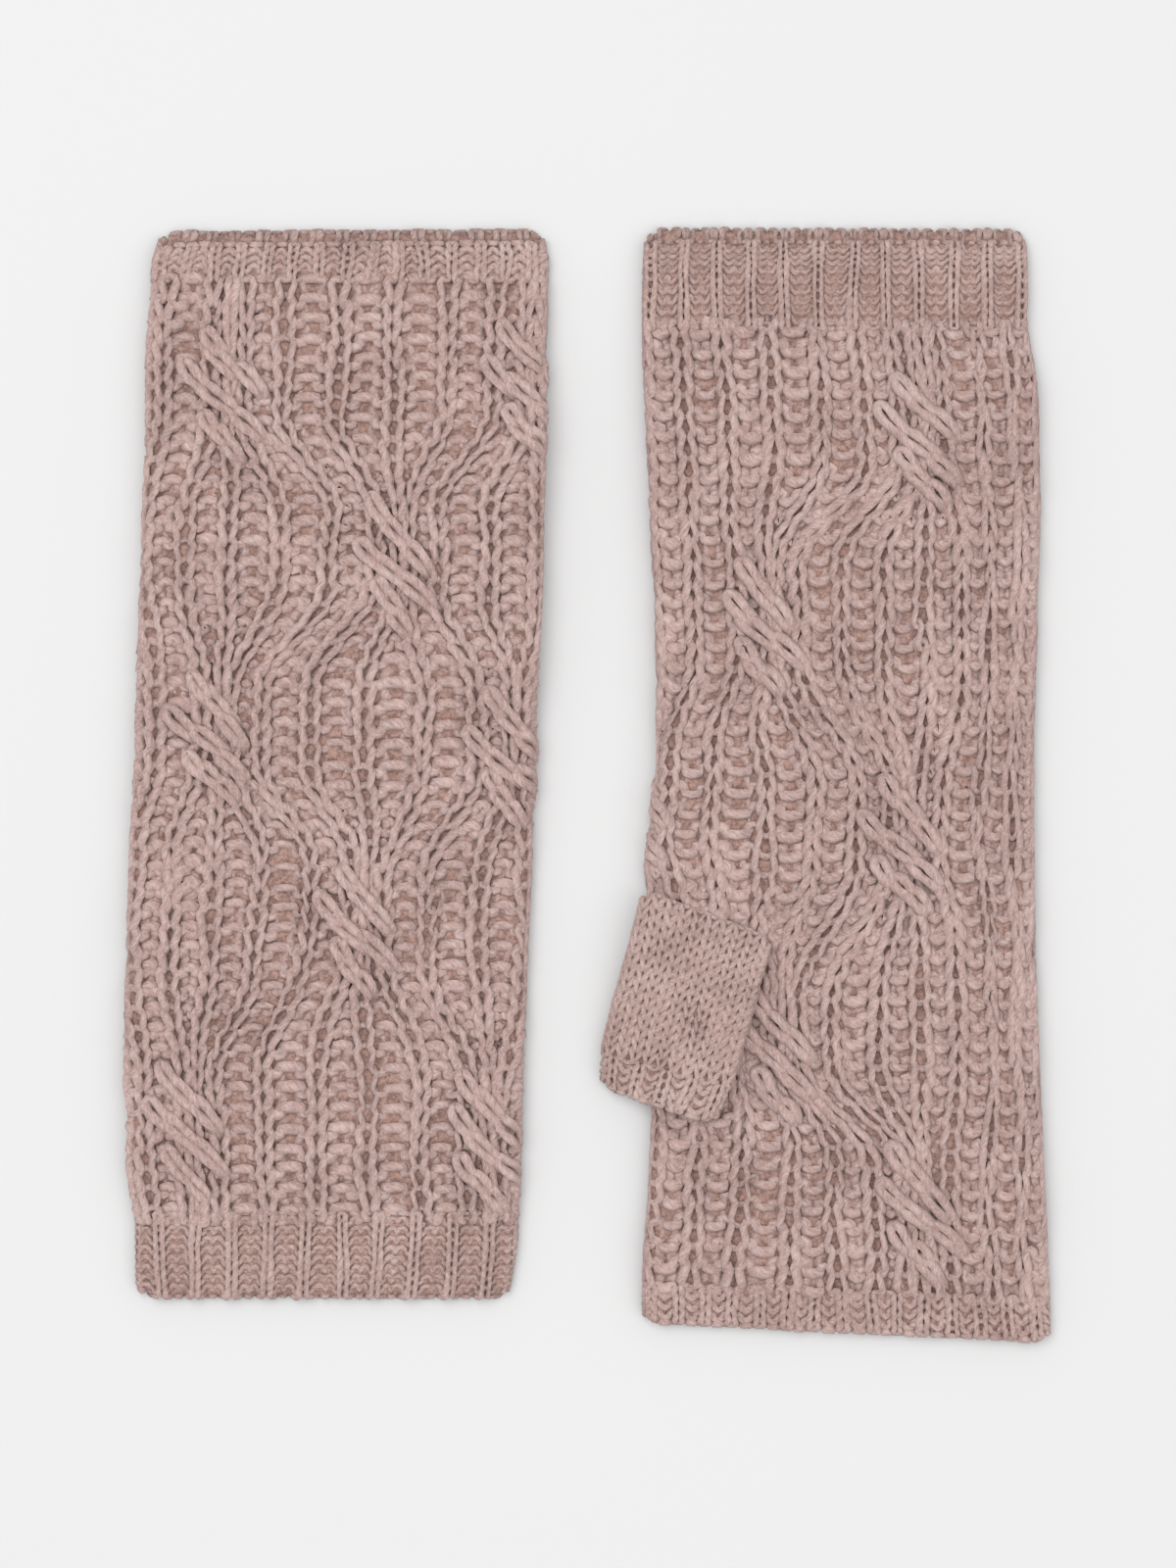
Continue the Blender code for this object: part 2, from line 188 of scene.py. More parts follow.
# Cable crossings: (centre x, centre y, and how many wales of pull it has to its left
# and to its right), from the fingers to the wrist along each of the face's lines.
LEFT_CABLES = (
    (-87.5, 99.6, 1.8, 2.0),
    (-89.9, 15.6, 1.8, 2.7),
    (-97.1, -80.4, 1.6, 2.1),
    (-45.0, 57.6, 2.6, 1.8),
    (-54.6, -31.2, 1.9, 2.0),
    (-13.1, 100.8, 2.4, 1.8),
    (-17.9, 10.8, 1.9, 1.8),
    (-23.2, -84.0, 2.1, 1.8),
)
RIGHT_CABLES = (
    (83.6, 88.8, 3.9, 1.5),
    (79.8, -10.8, 3.4, 1.5),
    (82.9, -101.3, 4.3, 1.5),
    (44.5, 43.2, 1.6, 2.3),
    (48.1, -62.4, 1.6, 2.5),
    (13.3, -3.6, 1.5, 2.0),
)
# Chains of loops that cross in front in every cable, from upper left to lower right,
# as offsets from its centre: (head x, head y, foot x, foot y).
CABLE_STRANDS = (
    (-7.2, 12.5, 7.2, -7.0),
    (-11.0, 3.5, 8.4, -16.5),
    (-7.0, -7.5, 3.4, -22.0),
)

# How far a cable pulls its wales together: strength, and the half height of the full
# pull and of the whole pull.
PULL_STRENGTH = 0.76
PULL_FULL = 9.0
PULL_END = 33.0
# How a squeezed knit column keeps its width, and what the purl columns give up.
KNIT_HOLD = 0.4
SQUEEZE_LEAST = 0.01
KNIT_NARROWEST = 0.6
KNIT_SWELL = 0.35
PURL_THINNEST = 0.6
PURL_SINK = 0.7
# Steps that find the travel of a cable's centre.
KNOT_STEPS = 6

# Fit of the pieces on each other. The upper layer steps back where an open edge shows
# its back layer.
OPENING_STEP = 3.2
OPENING_RUN = 12.0
# The right palm sinks under the thumb that lies on it, and the thumb droops past the
# palm's edge and sinks into the palm at its base.
THUMB_DENT = 1.4
THUMB_DENT_MARGIN = 3.0
THUMB_DENT_FADE = 5.0
YARN_DENT = 2.2
THUMB_DROOP_HEIGHT = 1.0
THUMB_DROOP_REACH = 11.0
THUMB_REST_INSIDE = 1.5
THUMB_SINK = 1.7
THUMB_SINK_REACH = 9.0
# The left body rises over the thumb under it.
LIFT_MARGIN = 4.0
LIFT_FADE = 24.0
REST_GAP = 0.35
# Least height of the yarn and the ground above the table, in millimetres.
FLOOR_CLEARANCE = 0.02

KNIT = 1
PURL = -1

BODY_GAUGE = Gauge(1.08, 0.2, 0.29, 0.72, 0.55, 0.84, 0.48, 0.0, 0.08, 1.35, 12, 0.46)
RIB_GAUGE = Gauge(0.66, 0.13, 0.27, 0.78, 0.3, 0.5, 0.52, 0.6, 0.0, 0.85, 10, 0.12)
EDGE_GAUGE = Gauge(0.8, 0.18, 0.27, 0.78, 0.3, 0.55, 0.4, 0.2, 0.0, 0.85, 10, 0.24)
THUMB_GAUGE = Gauge(0.76, 0.27, 0.27, 0.84, 0.45, 0.45, 0.0, 0.0, 0.0, 0.8, 12, 0.12)
# Sides of the yarn, shares of its height that it keeps, of its radius that varies and
# of its relief that is lost at the folds, and the least radius of a fold.
YARN_SIDES = 5
YARN_FLATNESS = 0.8
YARN_UNEVEN = 0.17
FOLD_CALM = 0.78
FOLD_LEAST = 0.05
# Unevenness outward, as a share of that along and across, and what the sum of the
# neighbouring courses is divided by, which keeps their spread.
OUT_DRIFT = 0.6
COURSE_SPREAD = 2.4
# Sway of the feet of purl loops, and the share of a stitch in which its kind changes.
PURL_FOOT_SWAY = 0.02
KIND_CHANGE = 0.16
# Columns of the finest yarn, such as those of the right mitten's edge, are this much
# more uneven.
FINE_YARN = 0.95
FINE_UNEVEN = 1.9

# Columns of stitches round each tube: where the first one starts beside the left fold,
# then (how many times, ((kind, width, share of the yarn), ...)).
LEFT_BODY_COLUMNS = (
    -4.95,
    (10, ((KNIT, 6.1, 1.0), (PURL, 3.52, 1.4))),
    (10, ((KNIT, 6.3, 1.0), (PURL, 3.77, 1.4))),
)
RIGHT_BODY_COLUMNS = (
    -5.95,
    (10, ((KNIT, 5.6, 0.98), (PURL, 2.73, 1.36))),
    (1, ((KNIT, 3.8, 0.8),)),
    (3, ((PURL, 2.5, 1.2), (KNIT, 3.0, 0.94))),
    (9, ((PURL, 3.1, 1.36), (KNIT, 5.88, 0.98))),
    (1, ((PURL, 3.1, 1.36),)),
)
LEFT_RIB_COLUMNS = (2.6, (21, ((KNIT, 3.3, 1.14), (PURL, 2.75, 1.02), (PURL, 2.75, 1.02))))
RIGHT_RIB_COLUMNS = (-1.5, (23, ((KNIT, 3.2, 1.14), (PURL, 2.55, 1.02), (PURL, 2.55, 1.02))))
BAND_COLUMNS = (-1.6, (30, ((KNIT, 3.4, 1.0), (PURL, 3.1, 1.15))))
THUMB_COLUMNS = (0.0, (21, ((KNIT, 3.1, 1.0),)))
THUMB_BAND_COLUMNS = (0.0, (10, ((KNIT, 3.1, 1.0), (PURL, 3.1, 1.15))))

# (rows, columns, cables, width of a wale, which the cables' pull is counted in, which
# way travel runs in the picture, and seed of its unevenness)
LEFT_BODY = (LEFT_ROWS, LEFT_BODY_COLUMNS, LEFT_CABLES, 9.62, 1.0, 11)
RIGHT_BODY = (RIGHT_ROWS, RIGHT_BODY_COLUMNS, RIGHT_CABLES, 8.33, -1.0, 12)
BODY_COURSES = 46

# Stitches stay back from a linked end by SEAM_UNDER. Past a seam they end raggedly,
# and where they stay back further the end is free and its corners are round.
SEAM_UNDER = 0.2
SEAM_UNEVEN = 1.1
BODY = ("wrist_seam", "finger_seam", Ends(-1.4, -1.4, 0, 1))
WRIST_RIB = ("wrist_edge", "wrist_seam", Ends(0.75, SEAM_UNDER, -1, 0))
FINGER_RIB = ("finger_seam", "finger_edge", Ends(SEAM_UNDER, 0.75, 1, 0))
THUMB = ("base", "rib_seam", Ends(0.3, -0.5, 0, 0))
THUMB_RIB = ("rib_seam", "tip", Ends(SEAM_UNDER, 0.75, 1, 0))
# (node, rows, its part of them, open edge that shows its back layer, gauge, columns,
# courses, seed)
RIBS = (
    ("left_wrist_rib", LEFT_ROWS, WRIST_RIB, None, RIB_GAUGE, LEFT_RIB_COLUMNS, 9, 21),
    ("left_finger_rib", LEFT_ROWS, FINGER_RIB, "finger_edge", EDGE_GAUGE, BAND_COLUMNS, 4, 22),
    ("right_wrist_rib", RIGHT_ROWS, WRIST_RIB, "wrist_edge", RIB_GAUGE, RIGHT_RIB_COLUMNS, 10, 23),
    ("right_finger_rib", RIGHT_ROWS, FINGER_RIB, None, EDGE_GAUGE, BAND_COLUMNS, 4, 24),
)
# (node's name after its side, its part of the rows, gauge, columns, courses)
THUMB_PARTS = (
    ("thumb", THUMB, THUMB_GAUGE, THUMB_COLUMNS, 14),
    ("thumb_rib", THUMB_RIB, EDGE_GAUGE, THUMB_BAND_COLUMNS, 4),
)
THUMB_SEEDS = {"left": (31, 32), "right": (33, 34)}
# Rounding of the corners at the open ends: depth, and reach across and along.
CORNER_STEP = 1.7
CORNER_REACH = 2.6
CORNER_RUN = 6.0
# Knit columns of the ribs lean to and fro by this much at the open edge, in two waves
# that go this many times round the tube and start this far apart.
RIB_LEAN = 0.9
RIB_LEAN_WAVES = (5, 8)
RIB_LEAN_PHASE = 1.0

# Loops that cross in front in every cable: points on one, loops in a chain, share of
# the chain that each one takes, half width, the feet's share of it, how blunt the head
# is, rise over the wales, depth of the feet, share of the loop in which it climbs,
# droop of the head and its power, share of the yarn, unevenness, range of the sizes
# and how evenly a chain slants.
LOOP_POINTS = 19
LOOPS_IN_CHAIN = 3
LOOP_SHARE = 0.47
LOOP_WIDTH = 1.6
LOOP_FOOT = 0.4
LOOP_BLUNT = 0.7
LOOP_RISE = 2.5
LOOP_BURY = 1.0
LOOP_CLIMB = 0.45
LOOP_DROOP = 0.25
LOOP_DROOP_POWER = 6
LOOP_YARN = 1.2
LOOP_UNEVEN = 0.55
LOOP_RANGE = (0.88, 1.12)
LOOP_FLOW = 0.45

# The ground under the loops: size of its faces, how far it stays back from a free
# end, depth and thickness.
GROUND_STEP = 2.4
GROUND_BACK = 0.4
GROUND_SINK = 0.3
GROUND_THICKNESS = 0.4

# Spin of the chunky and the fine yarn: one turn of a ply in millimetres, and share of
# the fluff. Each line of yarn starts somewhere else along the pattern.
CHUNKY_SPIN = (4.6, 1.0)
FINE_SPIN = (2.8, 0.7)
COVER_SHIFT = 400.0
PLY_RELIEF = 0.3
# Streaks of fibre are 0.6 mm wide and 1.8 mm long on the chunky yarn. Real fibres are
# far finer and would not show.
STREAK_NOISE = {"Scale": 1.9, "Detail": 3.0, "Roughness": 0.7}
STREAK_DRAW = (0.3, 0.0, 0.0)
# Patterns on Object coordinates are counted to the metre. Patches are 13 mm across,
# about three stitches, and shift the streaks' tone by a share and a level.
PATCH_NOISE = {"Scale": 75.0, "Detail": 5.0, "Roughness": 0.7}
PATCH_SHIFT = {1: 0.6, 2: -0.3}
TONE_STOPS = (0.36, 0.5, 0.66)
# Hairs stand 2 mm apart and 0.2 mm wide, coarser than real ones so that they show, and
# wind by up to 4 mm every 3 mm.
HAIR_SCALE = 520.0
HAIR_RANGE = {"From Max": 0.085, "To Min": 1.0, "To Max": 0.0}
HAIR_STRENGTH = 0.65
HAIR_NOISE = {"Scale": 300.0, "Detail": 0.0}
HAIR_BEND = (0.004, 0.004, 0.004)
# Painted shade: height in metres below which the wool's colour darkens, and the share of it left
# on the table.
PAINTED_SHADE_RANGE = {"From Max": 0.0042, "To Min": 0.72}
WOOL_FINISH = {
    "Roughness": 0.95,
    "Specular IOR Level": 0.12,
    "Sheen Weight": 0.4,
    "Sheen Roughness": 0.55,
}
SHEEN_TINT = "#e6d2cb"
# Felt: its grain of 1 mm, the dark and light stops of it, their shares of the colour,
# and its relief.
FELT_FINISH = {"Roughness": 1.0, "Specular IOR Level": 0.1}
FELT_NOISE = {"Scale": 900.0, "Detail": 2.0, "Roughness": 0.7}
FELT_STOPS = ((0.35, 0.62), (0.65, 1.3))
FELT_RELIEF = {"Strength": 0.8, "Distance": 0.3 * MM}

# Pale board: half its width and how far it lies below the mittens, in metres, its
# grain of 1.4 mm and its relief.
FLOOR_HALF = 4.0
FLOOR_GAP = 0.0003
BOARD_ROUGHNESS = 0.9
BOARD_NOISE = {"Scale": 700.0}
BOARD_RELIEF = {"Strength": 0.05, "Distance": 0.02 * MM}
# Soft boxes: (name, place, width), in metres.
SOFTBOXES = (
    ("overhead_softbox", (-0.4, 0.3, 1.6), 1.4),
    ("side_softbox", (0.8, -0.5, 1.3), 1.2),
)
SURROUND_COLOUR = "#f6f6f6"
SENSOR_MM = 36.0


def hex_to_linear(code):
    """Linear RGBA of an sRGB hex colour."""
    parts = [int(code[i : i + 2], 16) / 255 for i in (1, 3, 5)]
    linear = [c / 12.92 if c <= 0.04045 else ((c + 0.055) / 1.055) ** 2.4 for c in parts]
    return (*linear, 1.0)


def ease(value):
    """Smooth step: 0 below 0, 1 above 1, and 3t^2 - 2t^3 between."""
    t = np.clip(value, 0.0, 1.0)
    return t * t * (3.0 - 2.0 * t)


def smooth_curve(where, stations, values):
    """Cubic Hermite curve through the values, with the mean slope at each station."""
    slope = np.gradient(values, stations)
    left = np.clip(np.searchsorted(stations, where, side="right") - 1, 0, len(stations) - 2)
    span = stations[left + 1] - stations[left]
    t = (where - stations[left]) / span
    start = (2 * t**3 - 3 * t**2 + 1) * values[left]
    start_slope = (t**3 - 2 * t**2 + t) * span * slope[left]
    end = (3 * t**2 - 2 * t**3) * values[left + 1]
    end_slope = (t**3 - t**2) * span * slope[left + 1]
    return start + start_slope + end + end_slope


def travel_of(rows):
    """Distance of each table row from the first one, along the middle line."""
    middle = np.array([((r[1] + r[3]) / 2, (r[2] + r[4]) / 2) for r in rows])
    steps = np.linalg.norm(np.diff(middle, axis=0), axis=1)
    return np.concatenate([[0.0], np.cumsum(steps)])


def station_of(rows, name):
    """Distance of the named row from the first one."""
    names = [r[0] for r in rows]
    return float(travel_of(rows)[names.index(name)])


def section_at(rows, travel):
    """Left point, right point and thickness of the sections at the given travels."""
    stations = travel_of(rows)
    columns = np.array([r[1:] for r in rows]).T
    values = [smooth_curve(travel, stations, column) for column in columns]
    return np.array(values[0:2]), np.array(values[2:4]), values[4]


def box_weight(x, y, rows, margin, fade):
    """1 over the outline of a thumb, fading to 0 past a margin round it."""
    base_left, base_right, _ = section_at(rows, 0.0)
    tip_left, tip_right, _ = section_at(rows, travel_of(rows)[-1])
    base = (base_left + base_right) / 2
    tip = (tip_left + tip_right) / 2
    length = np.linalg.norm(tip - base)
    along = (tip - base) / length
    out = np.array([-along[1], along[0]])
    half_width = np.linalg.norm(base_right - base_left) / 2
    run = (x - base[0]) * along[0] + (y - base[1]) * along[1]
    off = (x - base[0]) * out[0] + (y - base[1]) * out[1]
    past_side = np.abs(off) - half_width - margin
    past_end = np.abs(run - length / 2) - length / 2 - margin
    return ease(1 - past_side / fade) * ease(1 - past_end / fade)


def lie_over_thumb(x, y, top):
    """The left mitten rises over the thumb under it."""
    tallest = max(r[5] for r in LEFT_THUMB_ROWS)
    return (tallest + REST_GAP) * box_weight(x, y, LEFT_THUMB_ROWS, LIFT_MARGIN, LIFT_FADE)


def dent_under_thumb(x, y, top):
    """The upper layer of the right palm sinks under the thumb that lies on it."""
    return -YARN_DENT * top * box_weight(
        x, y, RIGHT_THUMB_ROWS, THUMB_DENT_MARGIN, THUMB_DENT_FADE
    )


def droop_past_palm(x, y, top):
    """The right thumb lies on the palm and droops past the palm's edge."""
    rows = sorted((r[2], r[1]) for r in RIGHT_ROWS)
    edge = np.interp(y, [r[0] for r in rows], [r[1] for r in rows])
    palm = BODY_THICKNESS - THUMB_DENT + REST_GAP
    share = ease((x - edge + THUMB_DROOP_REACH) / (THUMB_DROOP_REACH + THUMB_REST_INSIDE))
    (_, left_x, left_y, right_x, right_y, _) = RIGHT_THUMB_ROWS[0]
    width = math.hypot(right_x - left_x, right_y - left_y)
    off = (x - left_x) * (right_y - left_y) - (y - left_y) * (right_x - left_x)
    sunk = THUMB_SINK * ease(1 - off / width / THUMB_SINK_REACH)
    return THUMB_DROOP_HEIGHT + (palm - THUMB_DROOP_HEIGHT) * share - sunk * share


def make_tube(rows, first, last, ends, depth, settle=None, opening=None):
    """Tube between two named rows, counted on the ring half way between them."""
    start = station_of(rows, first)
    end = station_of(rows, last)
    left, right, thickness = section_at(rows, (start + end) / 2)
    flat = float(np.hypot(*(right - left)) - thickness)
    fold = float(math.pi * (thickness / 2 - depth))
    edge = None if opening is None else station_of(rows, opening)
    return Tube(rows, start, end, depth, flat, fold, ends, edge, settle)


def ring_length(tube):
    """Length of the tube's ring: two flat layers and two round folds."""
    return 2 * (tube.flat + tube.fold)


def corner_turn(tube, travel, spot):
    """How far the corners of the free ends round back into the tube."""
    low = spot - tube.flat - tube.fold
    gap = np.minimum(spot, tube.flat - spot)
    gap = np.maximum(gap, np.minimum(low, tube.flat - low))
    corner = CORNER_STEP * (1 - np.clip(gap / CORNER_REACH, 0, 1)) ** 2
    turned = np.zeros_like(travel)
    if tube.ends.end > SEAM_UNDER:
        turned = turned - corner * ease(1 - (tube.end - travel) / CORNER_RUN)
    if tube.ends.start > SEAM_UNDER:
        turned = turned + corner * ease(1 - (travel - tube.start) / CORNER_RUN)
    return turned


def place(tube, travel, around, out):
    """Points on the knit's middle surface moved out, and the surface's directions.

    The ring is a flat top, a half circle at the right fold, a flat underside and a
    half circle at the left fold. Its shares of flat and fold are stretched to the
    section at each travel. The result has x, y and z in its last axis.
    """
    spot = np.mod(around, ring_length(tube))
    travel = travel + corner_turn(tube, travel, spot)
    left, right, thickness = section_at(tube.rows, travel)
    span = right - left
    width = np.hypot(span[0], span[1])
    inset = thickness / 2
    over = np.clip(spot / tube.flat, 0, 1)
    under = np.clip((spot - tube.flat - tube.fold) / tube.flat, 0, 1)
    right_turn = np.clip((spot - tube.flat) / tube.fold, 0, 1)
    left_turn = np.clip((spot - 2 * tube.flat - tube.fold) / tube.fold, 0, 1)
    turn = math.pi * (right_turn + left_turn)
    calm = 1 - FOLD_CALM * np.abs(np.sin(turn))
    reach = np.maximum(inset - tube.depth + out * calm, FOLD_LEAST)
    across = inset + (width - thickness) * (over - under) + reach * np.sin(turn)
    x = left[0] + span[0] / width * across
    y = left[1] + span[1] / width * across
    z = inset + reach * np.cos(turn)
    if tube.opening is not None:
        nearness = ease(1 - np.abs(travel - tube.opening) / OPENING_RUN)
        y = y - OPENING_STEP * nearness * (1 + np.cos(turn)) / 2
    if tube.settle is not None:
        z = z + tube.settle(x, y, np.clip(np.cos(turn), 0, 1))
    facing = [np.sin(turn) * span[0] / width, np.sin(turn) * span[1] / width, np.cos(turn)]
    return np.stack([x, y, z], axis=-1), np.stack(np.broadcast_arrays(*facing), axis=-1)


def stitch_columns(table, ring):
    """Columns of a tube from its table, scaled so that they close the ring."""
    first, *groups = table
    columns = [column for count, pattern in groups for column in pattern * count]
    kinds, widths, yarns = (np.array(values) for values in zip(*columns))
    widths = widths * ring / widths.sum()
    starts = first + np.concatenate([[0.0], np.cumsum(widths)[:-1]])
    runs = np.split(kinds, np.flatnonzero(np.diff(kinds)) + 1)
    number = np.concatenate([np.arange(len(run)) for run in runs])
    count = np.concatenate([np.full(len(run), len(run)) for run in runs])
    return Columns(starts, widths, kinds, yarns, number, count)


def wander(rng, courses, columns, steps, size):
    """Unevenness of hand and machine: random values joined by smooth steps.

    Each value is averaged with its neighbours in the courses above and below, and
    the row of values closes on itself round the ring.
    """
    values = rng.normal(0.0, size, (courses, columns))
    values = np.roll(values, 1, axis=0) + 2 * values + np.roll(values, -1, axis=0)
    values = values / COURSE_SPREAD
    blend = ease(np.arange(steps) / steps)
    following = np.roll(values, -1, axis=1)
    return values[..., None] * (1 - blend) + following[..., None] * blend


def stitch_line(gauge, columns, height):
    """Share of the column, height and depth of the yarn through every stitch.

    At t of a stitch the share is t + a sin(4 pi t), the height is -h cos(2 pi t) and
    the depth is k (r - d cos(4 pi t)). The factor k is 1 in a knit stitch, whose legs
    lie in front, and -1 in a purl stitch, whose loops lie in front. It changes
    smoothly where one kind meets the other. The feet of purl loops sway less, and
    cos(x) - f cos(3x), divided by 1 - f, flattens their heads into bars. A run of
    purl columns bows upward by b sin(pi s) at share s of the run.
    """
    t = np.arange(gauge.segments) / gauge.segments
    kinds = columns.kinds
    before = (np.roll(kinds, 1) + kinds) / 2
    after = (np.roll(kinds, -1) + kinds) / 2
    enter = ease(t / KIND_CHANGE)
    leave = ease((t - (1 - KIND_CHANGE)) / KIND_CHANGE)
    kind = before[:, None] * (1 - enter) + kinds[:, None] * enter
    kind = kind * (1 - leave) + after[:, None] * leave
    head = np.abs(t - 0.5) < 0.25
    purl_sway = np.where(head, gauge.purl_sway, PURL_FOOT_SWAY)
    sway = np.where(kinds[:, None] == KNIT, gauge.knit_sway, purl_sway)
    share = t + sway * np.sin(4 * math.pi * t)
    run_share = (columns.number[:, None] + share) / columns.count[:, None]
    bow = np.where(kinds[:, None] == PURL, gauge.bow * np.sin(math.pi * run_share), 0.0)
    bar = np.where(kinds[:, None] == PURL, gauge.bar, 0.0)
    wave = (np.cos(2 * math.pi * t) - bar * np.cos(6 * math.pi * t)) / (1 - bar)
    upward = bow - gauge.loop * height * wave
    dip = np.where(kinds[:, None] == KNIT, gauge.dip, gauge.purl_dip)
    outward = kind * (gauge.ridge - dip * np.cos(4 * math.pi * t))
    return share, upward, outward


def knot_places(tube, cables, way):
    """Around and travel of every cable's centre, found by stepping to its height."""
    places = []
    for x, y, to_left, to_right in cables:
        travel = (tube.start + tube.end) / 2
        for _ in range(KNOT_STEPS):
            left, right, thickness = section_at(tube.rows, travel)
            width = right[0] - left[0]
            level = left[1] + (right[1] - left[1]) * (x - left[0]) / width
            travel = float(np.clip(travel + way * (y - level), tube.start, tube.end))
        share = (x - left[0] - thickness / 2) / (width - thickness)
        places.append((tube.flat * share, travel, to_left, to_right))
    return places


def cable_pull(tube, knots, pitch, around, travel):
    """Shift of the wales towards every cable, and how much it squeezes them.

    At offset o, which is u wales, the shift is -s o exp(-(u/r)^2), with r the cable's
    reach on that side. It is at full strength beside the crossing and eases to none
    above and below it, but lasts to an end of the tube that is near.
    """
    around, travel = np.broadcast_arrays(around, travel)
    shift = np.zeros_like(travel)
    squeeze = np.ones_like(travel)
    ring = ring_length(tube)
    for knot_around, knot_travel, to_left, to_right in knots:
        offset = np.mod(around - knot_around + ring / 2, ring) - ring / 2
        reach = np.where(offset < 0, to_left, to_right)
        power = (offset / pitch / reach) ** 2
        away = travel - knot_travel
        if tube.end - knot_travel < PULL_END:
            away = np.minimum(away, 0.0)
        if knot_travel - tube.start < PULL_END:
            away = np.maximum(away, 0.0)
        level = ease((PULL_END - np.abs(away)) / (PULL_END - PULL_FULL))
        pull = PULL_STRENGTH * np.exp(-power) * level
        shift -= offset * pull
        squeeze -= pull * (1 - 2 * power)
    return shift, squeeze


def knit_reach(tube, knots, pitch, middle, width, travel):
    """Left and right side of a knit column, moved and narrowed by the cables."""
    shift, squeeze = cable_pull(tube, knots, pitch, middle[:, None], travel)
    hold = np.clip(np.maximum(squeeze, SQUEEZE_LEAST) ** KNIT_HOLD, KNIT_NARROWEST, 1.0)
    half = width[:, None] / 2 * hold
    centre = middle[:, None] + shift
    return centre - half, centre + half


def column_sides(tube, columns, knots, pitch, travel):
    """Left and right side of every column at the given travels.

    A knit column keeps most of its width where a cable squeezes it, and a purl
    column takes what its knit neighbours leave. Columns of one kind share a side.
    """
    ring = ring_length(tube)
    ends = columns.starts + columns.widths
    middles = (columns.starts + ends) / 2
    before = np.concatenate([[middles[-1] - ring], middles[:-1]])
    behind = np.concatenate([middles[1:], [middles[0] + ring]])
    own = knit_reach(tube, knots, pitch, middles, columns.widths, travel)
    knit = (columns.kinds == KNIT)[:, None]
    sides = []
    for side, (turn, edge, beyond) in enumerate(((1, columns.starts, before), (-1, ends, behind))):
        width = np.roll(columns.widths, turn)
        theirs = knit_reach(tube, knots, pitch, beyond, width, travel)[1 - side]
        plain = edge[:, None] + cable_pull(tube, knots, pitch, edge[:, None], travel)[0]
        same = (columns.kinds == np.roll(columns.kinds, turn))[:, None]
        sides.append(np.where(same, plain, np.where(knit, own[side], theirs)))
    return sides


def yarn_skin(points, facing, radius, closed):
    """Round skin of yarn along lines of points: vertices with one more axis.

    At angle p the skin is radius (cos p side + flatness sin p up), where side is
    square to the line and the surface's direction, and up is square to both.
    """
    if closed:
        along = np.roll(points, -1, axis=-2) - np.roll(points, 1, axis=-2)
    else:
        along = np.gradient(points, axis=-2)
    along /= np.linalg.norm(along, axis=-1, keepdims=True)
    side = np.cross(along, facing)
    side /= np.linalg.norm(side, axis=-1, keepdims=True)
    up = np.cross(side, along)
    angle = 2 * math.pi * np.arange(YARN_SIDES) / YARN_SIDES
    wide = np.cos(angle)[:, None] * side[..., None, :]
    high = YARN_FLATNESS * np.sin(angle)[:, None] * up[..., None, :]
    return points[..., None, :] + radius[..., None, None] * (wide + high)


def yarn_faces(lines, count, sides, closed):
    """Corner numbers of the quads between neighbouring points of every line."""
    spans = count if closed else count - 1
    line, point, side = np.meshgrid(
        np.arange(lines), np.arange(spans), np.arange(sides), indexing="ij"
    )
    ahead = (point + 1) % count
    beside = (side + 1) % sides
    corners = [(point, side), (ahead, side), (ahead, beside), (point, beside)]
    faces = [(line * count + p) * sides + s for p, s in corners]
    return np.stack(faces, axis=-1).reshape(-1, 4)


def yarn_cover(points, shift, closed):
    """UV of every face corner: millimetres along the yarn, and share of a turn."""
    steps = np.linalg.norm(np.roll(points, -1, axis=-2) - points, axis=-1)
    walked = np.cumsum(steps, axis=-1)
    spans = points.shape[-2] if closed else points.shape[-2] - 1
    begin = np.concatenate([np.zeros_like(walked[:, :1]), walked[:, :-1]], axis=1) + shift
    finish = walked + shift
    start_u = np.broadcast_to(begin[:, :spans, None], (len(points), spans, YARN_SIDES))
    end_u = np.broadcast_to(finish[:, :spans, None], start_u.shape)
    low_v = np.broadcast_to(np.arange(YARN_SIDES) / YARN_SIDES, start_u.shape)
    high_v = low_v + 1 / YARN_SIDES
    corners = [(start_u, low_v), (end_u, low_v), (end_u, high_v), (start_u, high_v)]
    return np.stack([np.stack(c, axis=-1) for c in corners], axis=-2).reshape(-1, 2)


def fill_mesh(name, vertices, quads, cover, material, caps=None):
    """New object at the origin from vertices in millimetres, quads and triangles."""
    triangles = np.zeros((0, 3), dtype=int) if caps is None else caps
    corners = np.concatenate([quads.ravel(), triangles.ravel()])
    starts = [np.arange(0, quads.size, 4), np.arange(quads.size, len(corners), 3)]
    starts = np.concatenate(starts)
    cover = np.concatenate([cover, np.zeros((triangles.size, 2))])
    mesh = bpy.data.meshes.new(name)
    mesh.vertices.add(len(vertices))
    mesh.vertices.foreach_set("co", (vertices * MM).astype(np.float32).ravel())
    mesh.loops.add(len(corners))
    mesh.loops.foreach_set("vertex_index", corners.astype(np.int32))
    mesh.polygons.add(len(starts))
    mesh.polygons.foreach_set("loop_start", starts.astype(np.int32))
    mesh.polygons.foreach_set("use_smooth", np.ones(len(starts), dtype=bool))
    mesh.update(calc_edges=True)
    layer = mesh.uv_layers.new(name="cover")
    layer.data.foreach_set("uv", cover.astype(np.float32).ravel())
    mesh.validate()
    mesh.materials.append(material)
    piece = bpy.data.objects.new(name, mesh)
    bpy.context.scene.collection.objects.link(piece)
    return piece


def rest_on_table(vertices):
    """Flatten what would reach through the table."""
    vertices[..., 2] = np.maximum(vertices[..., 2], FLOOR_CLEARANCE)
    return vertices


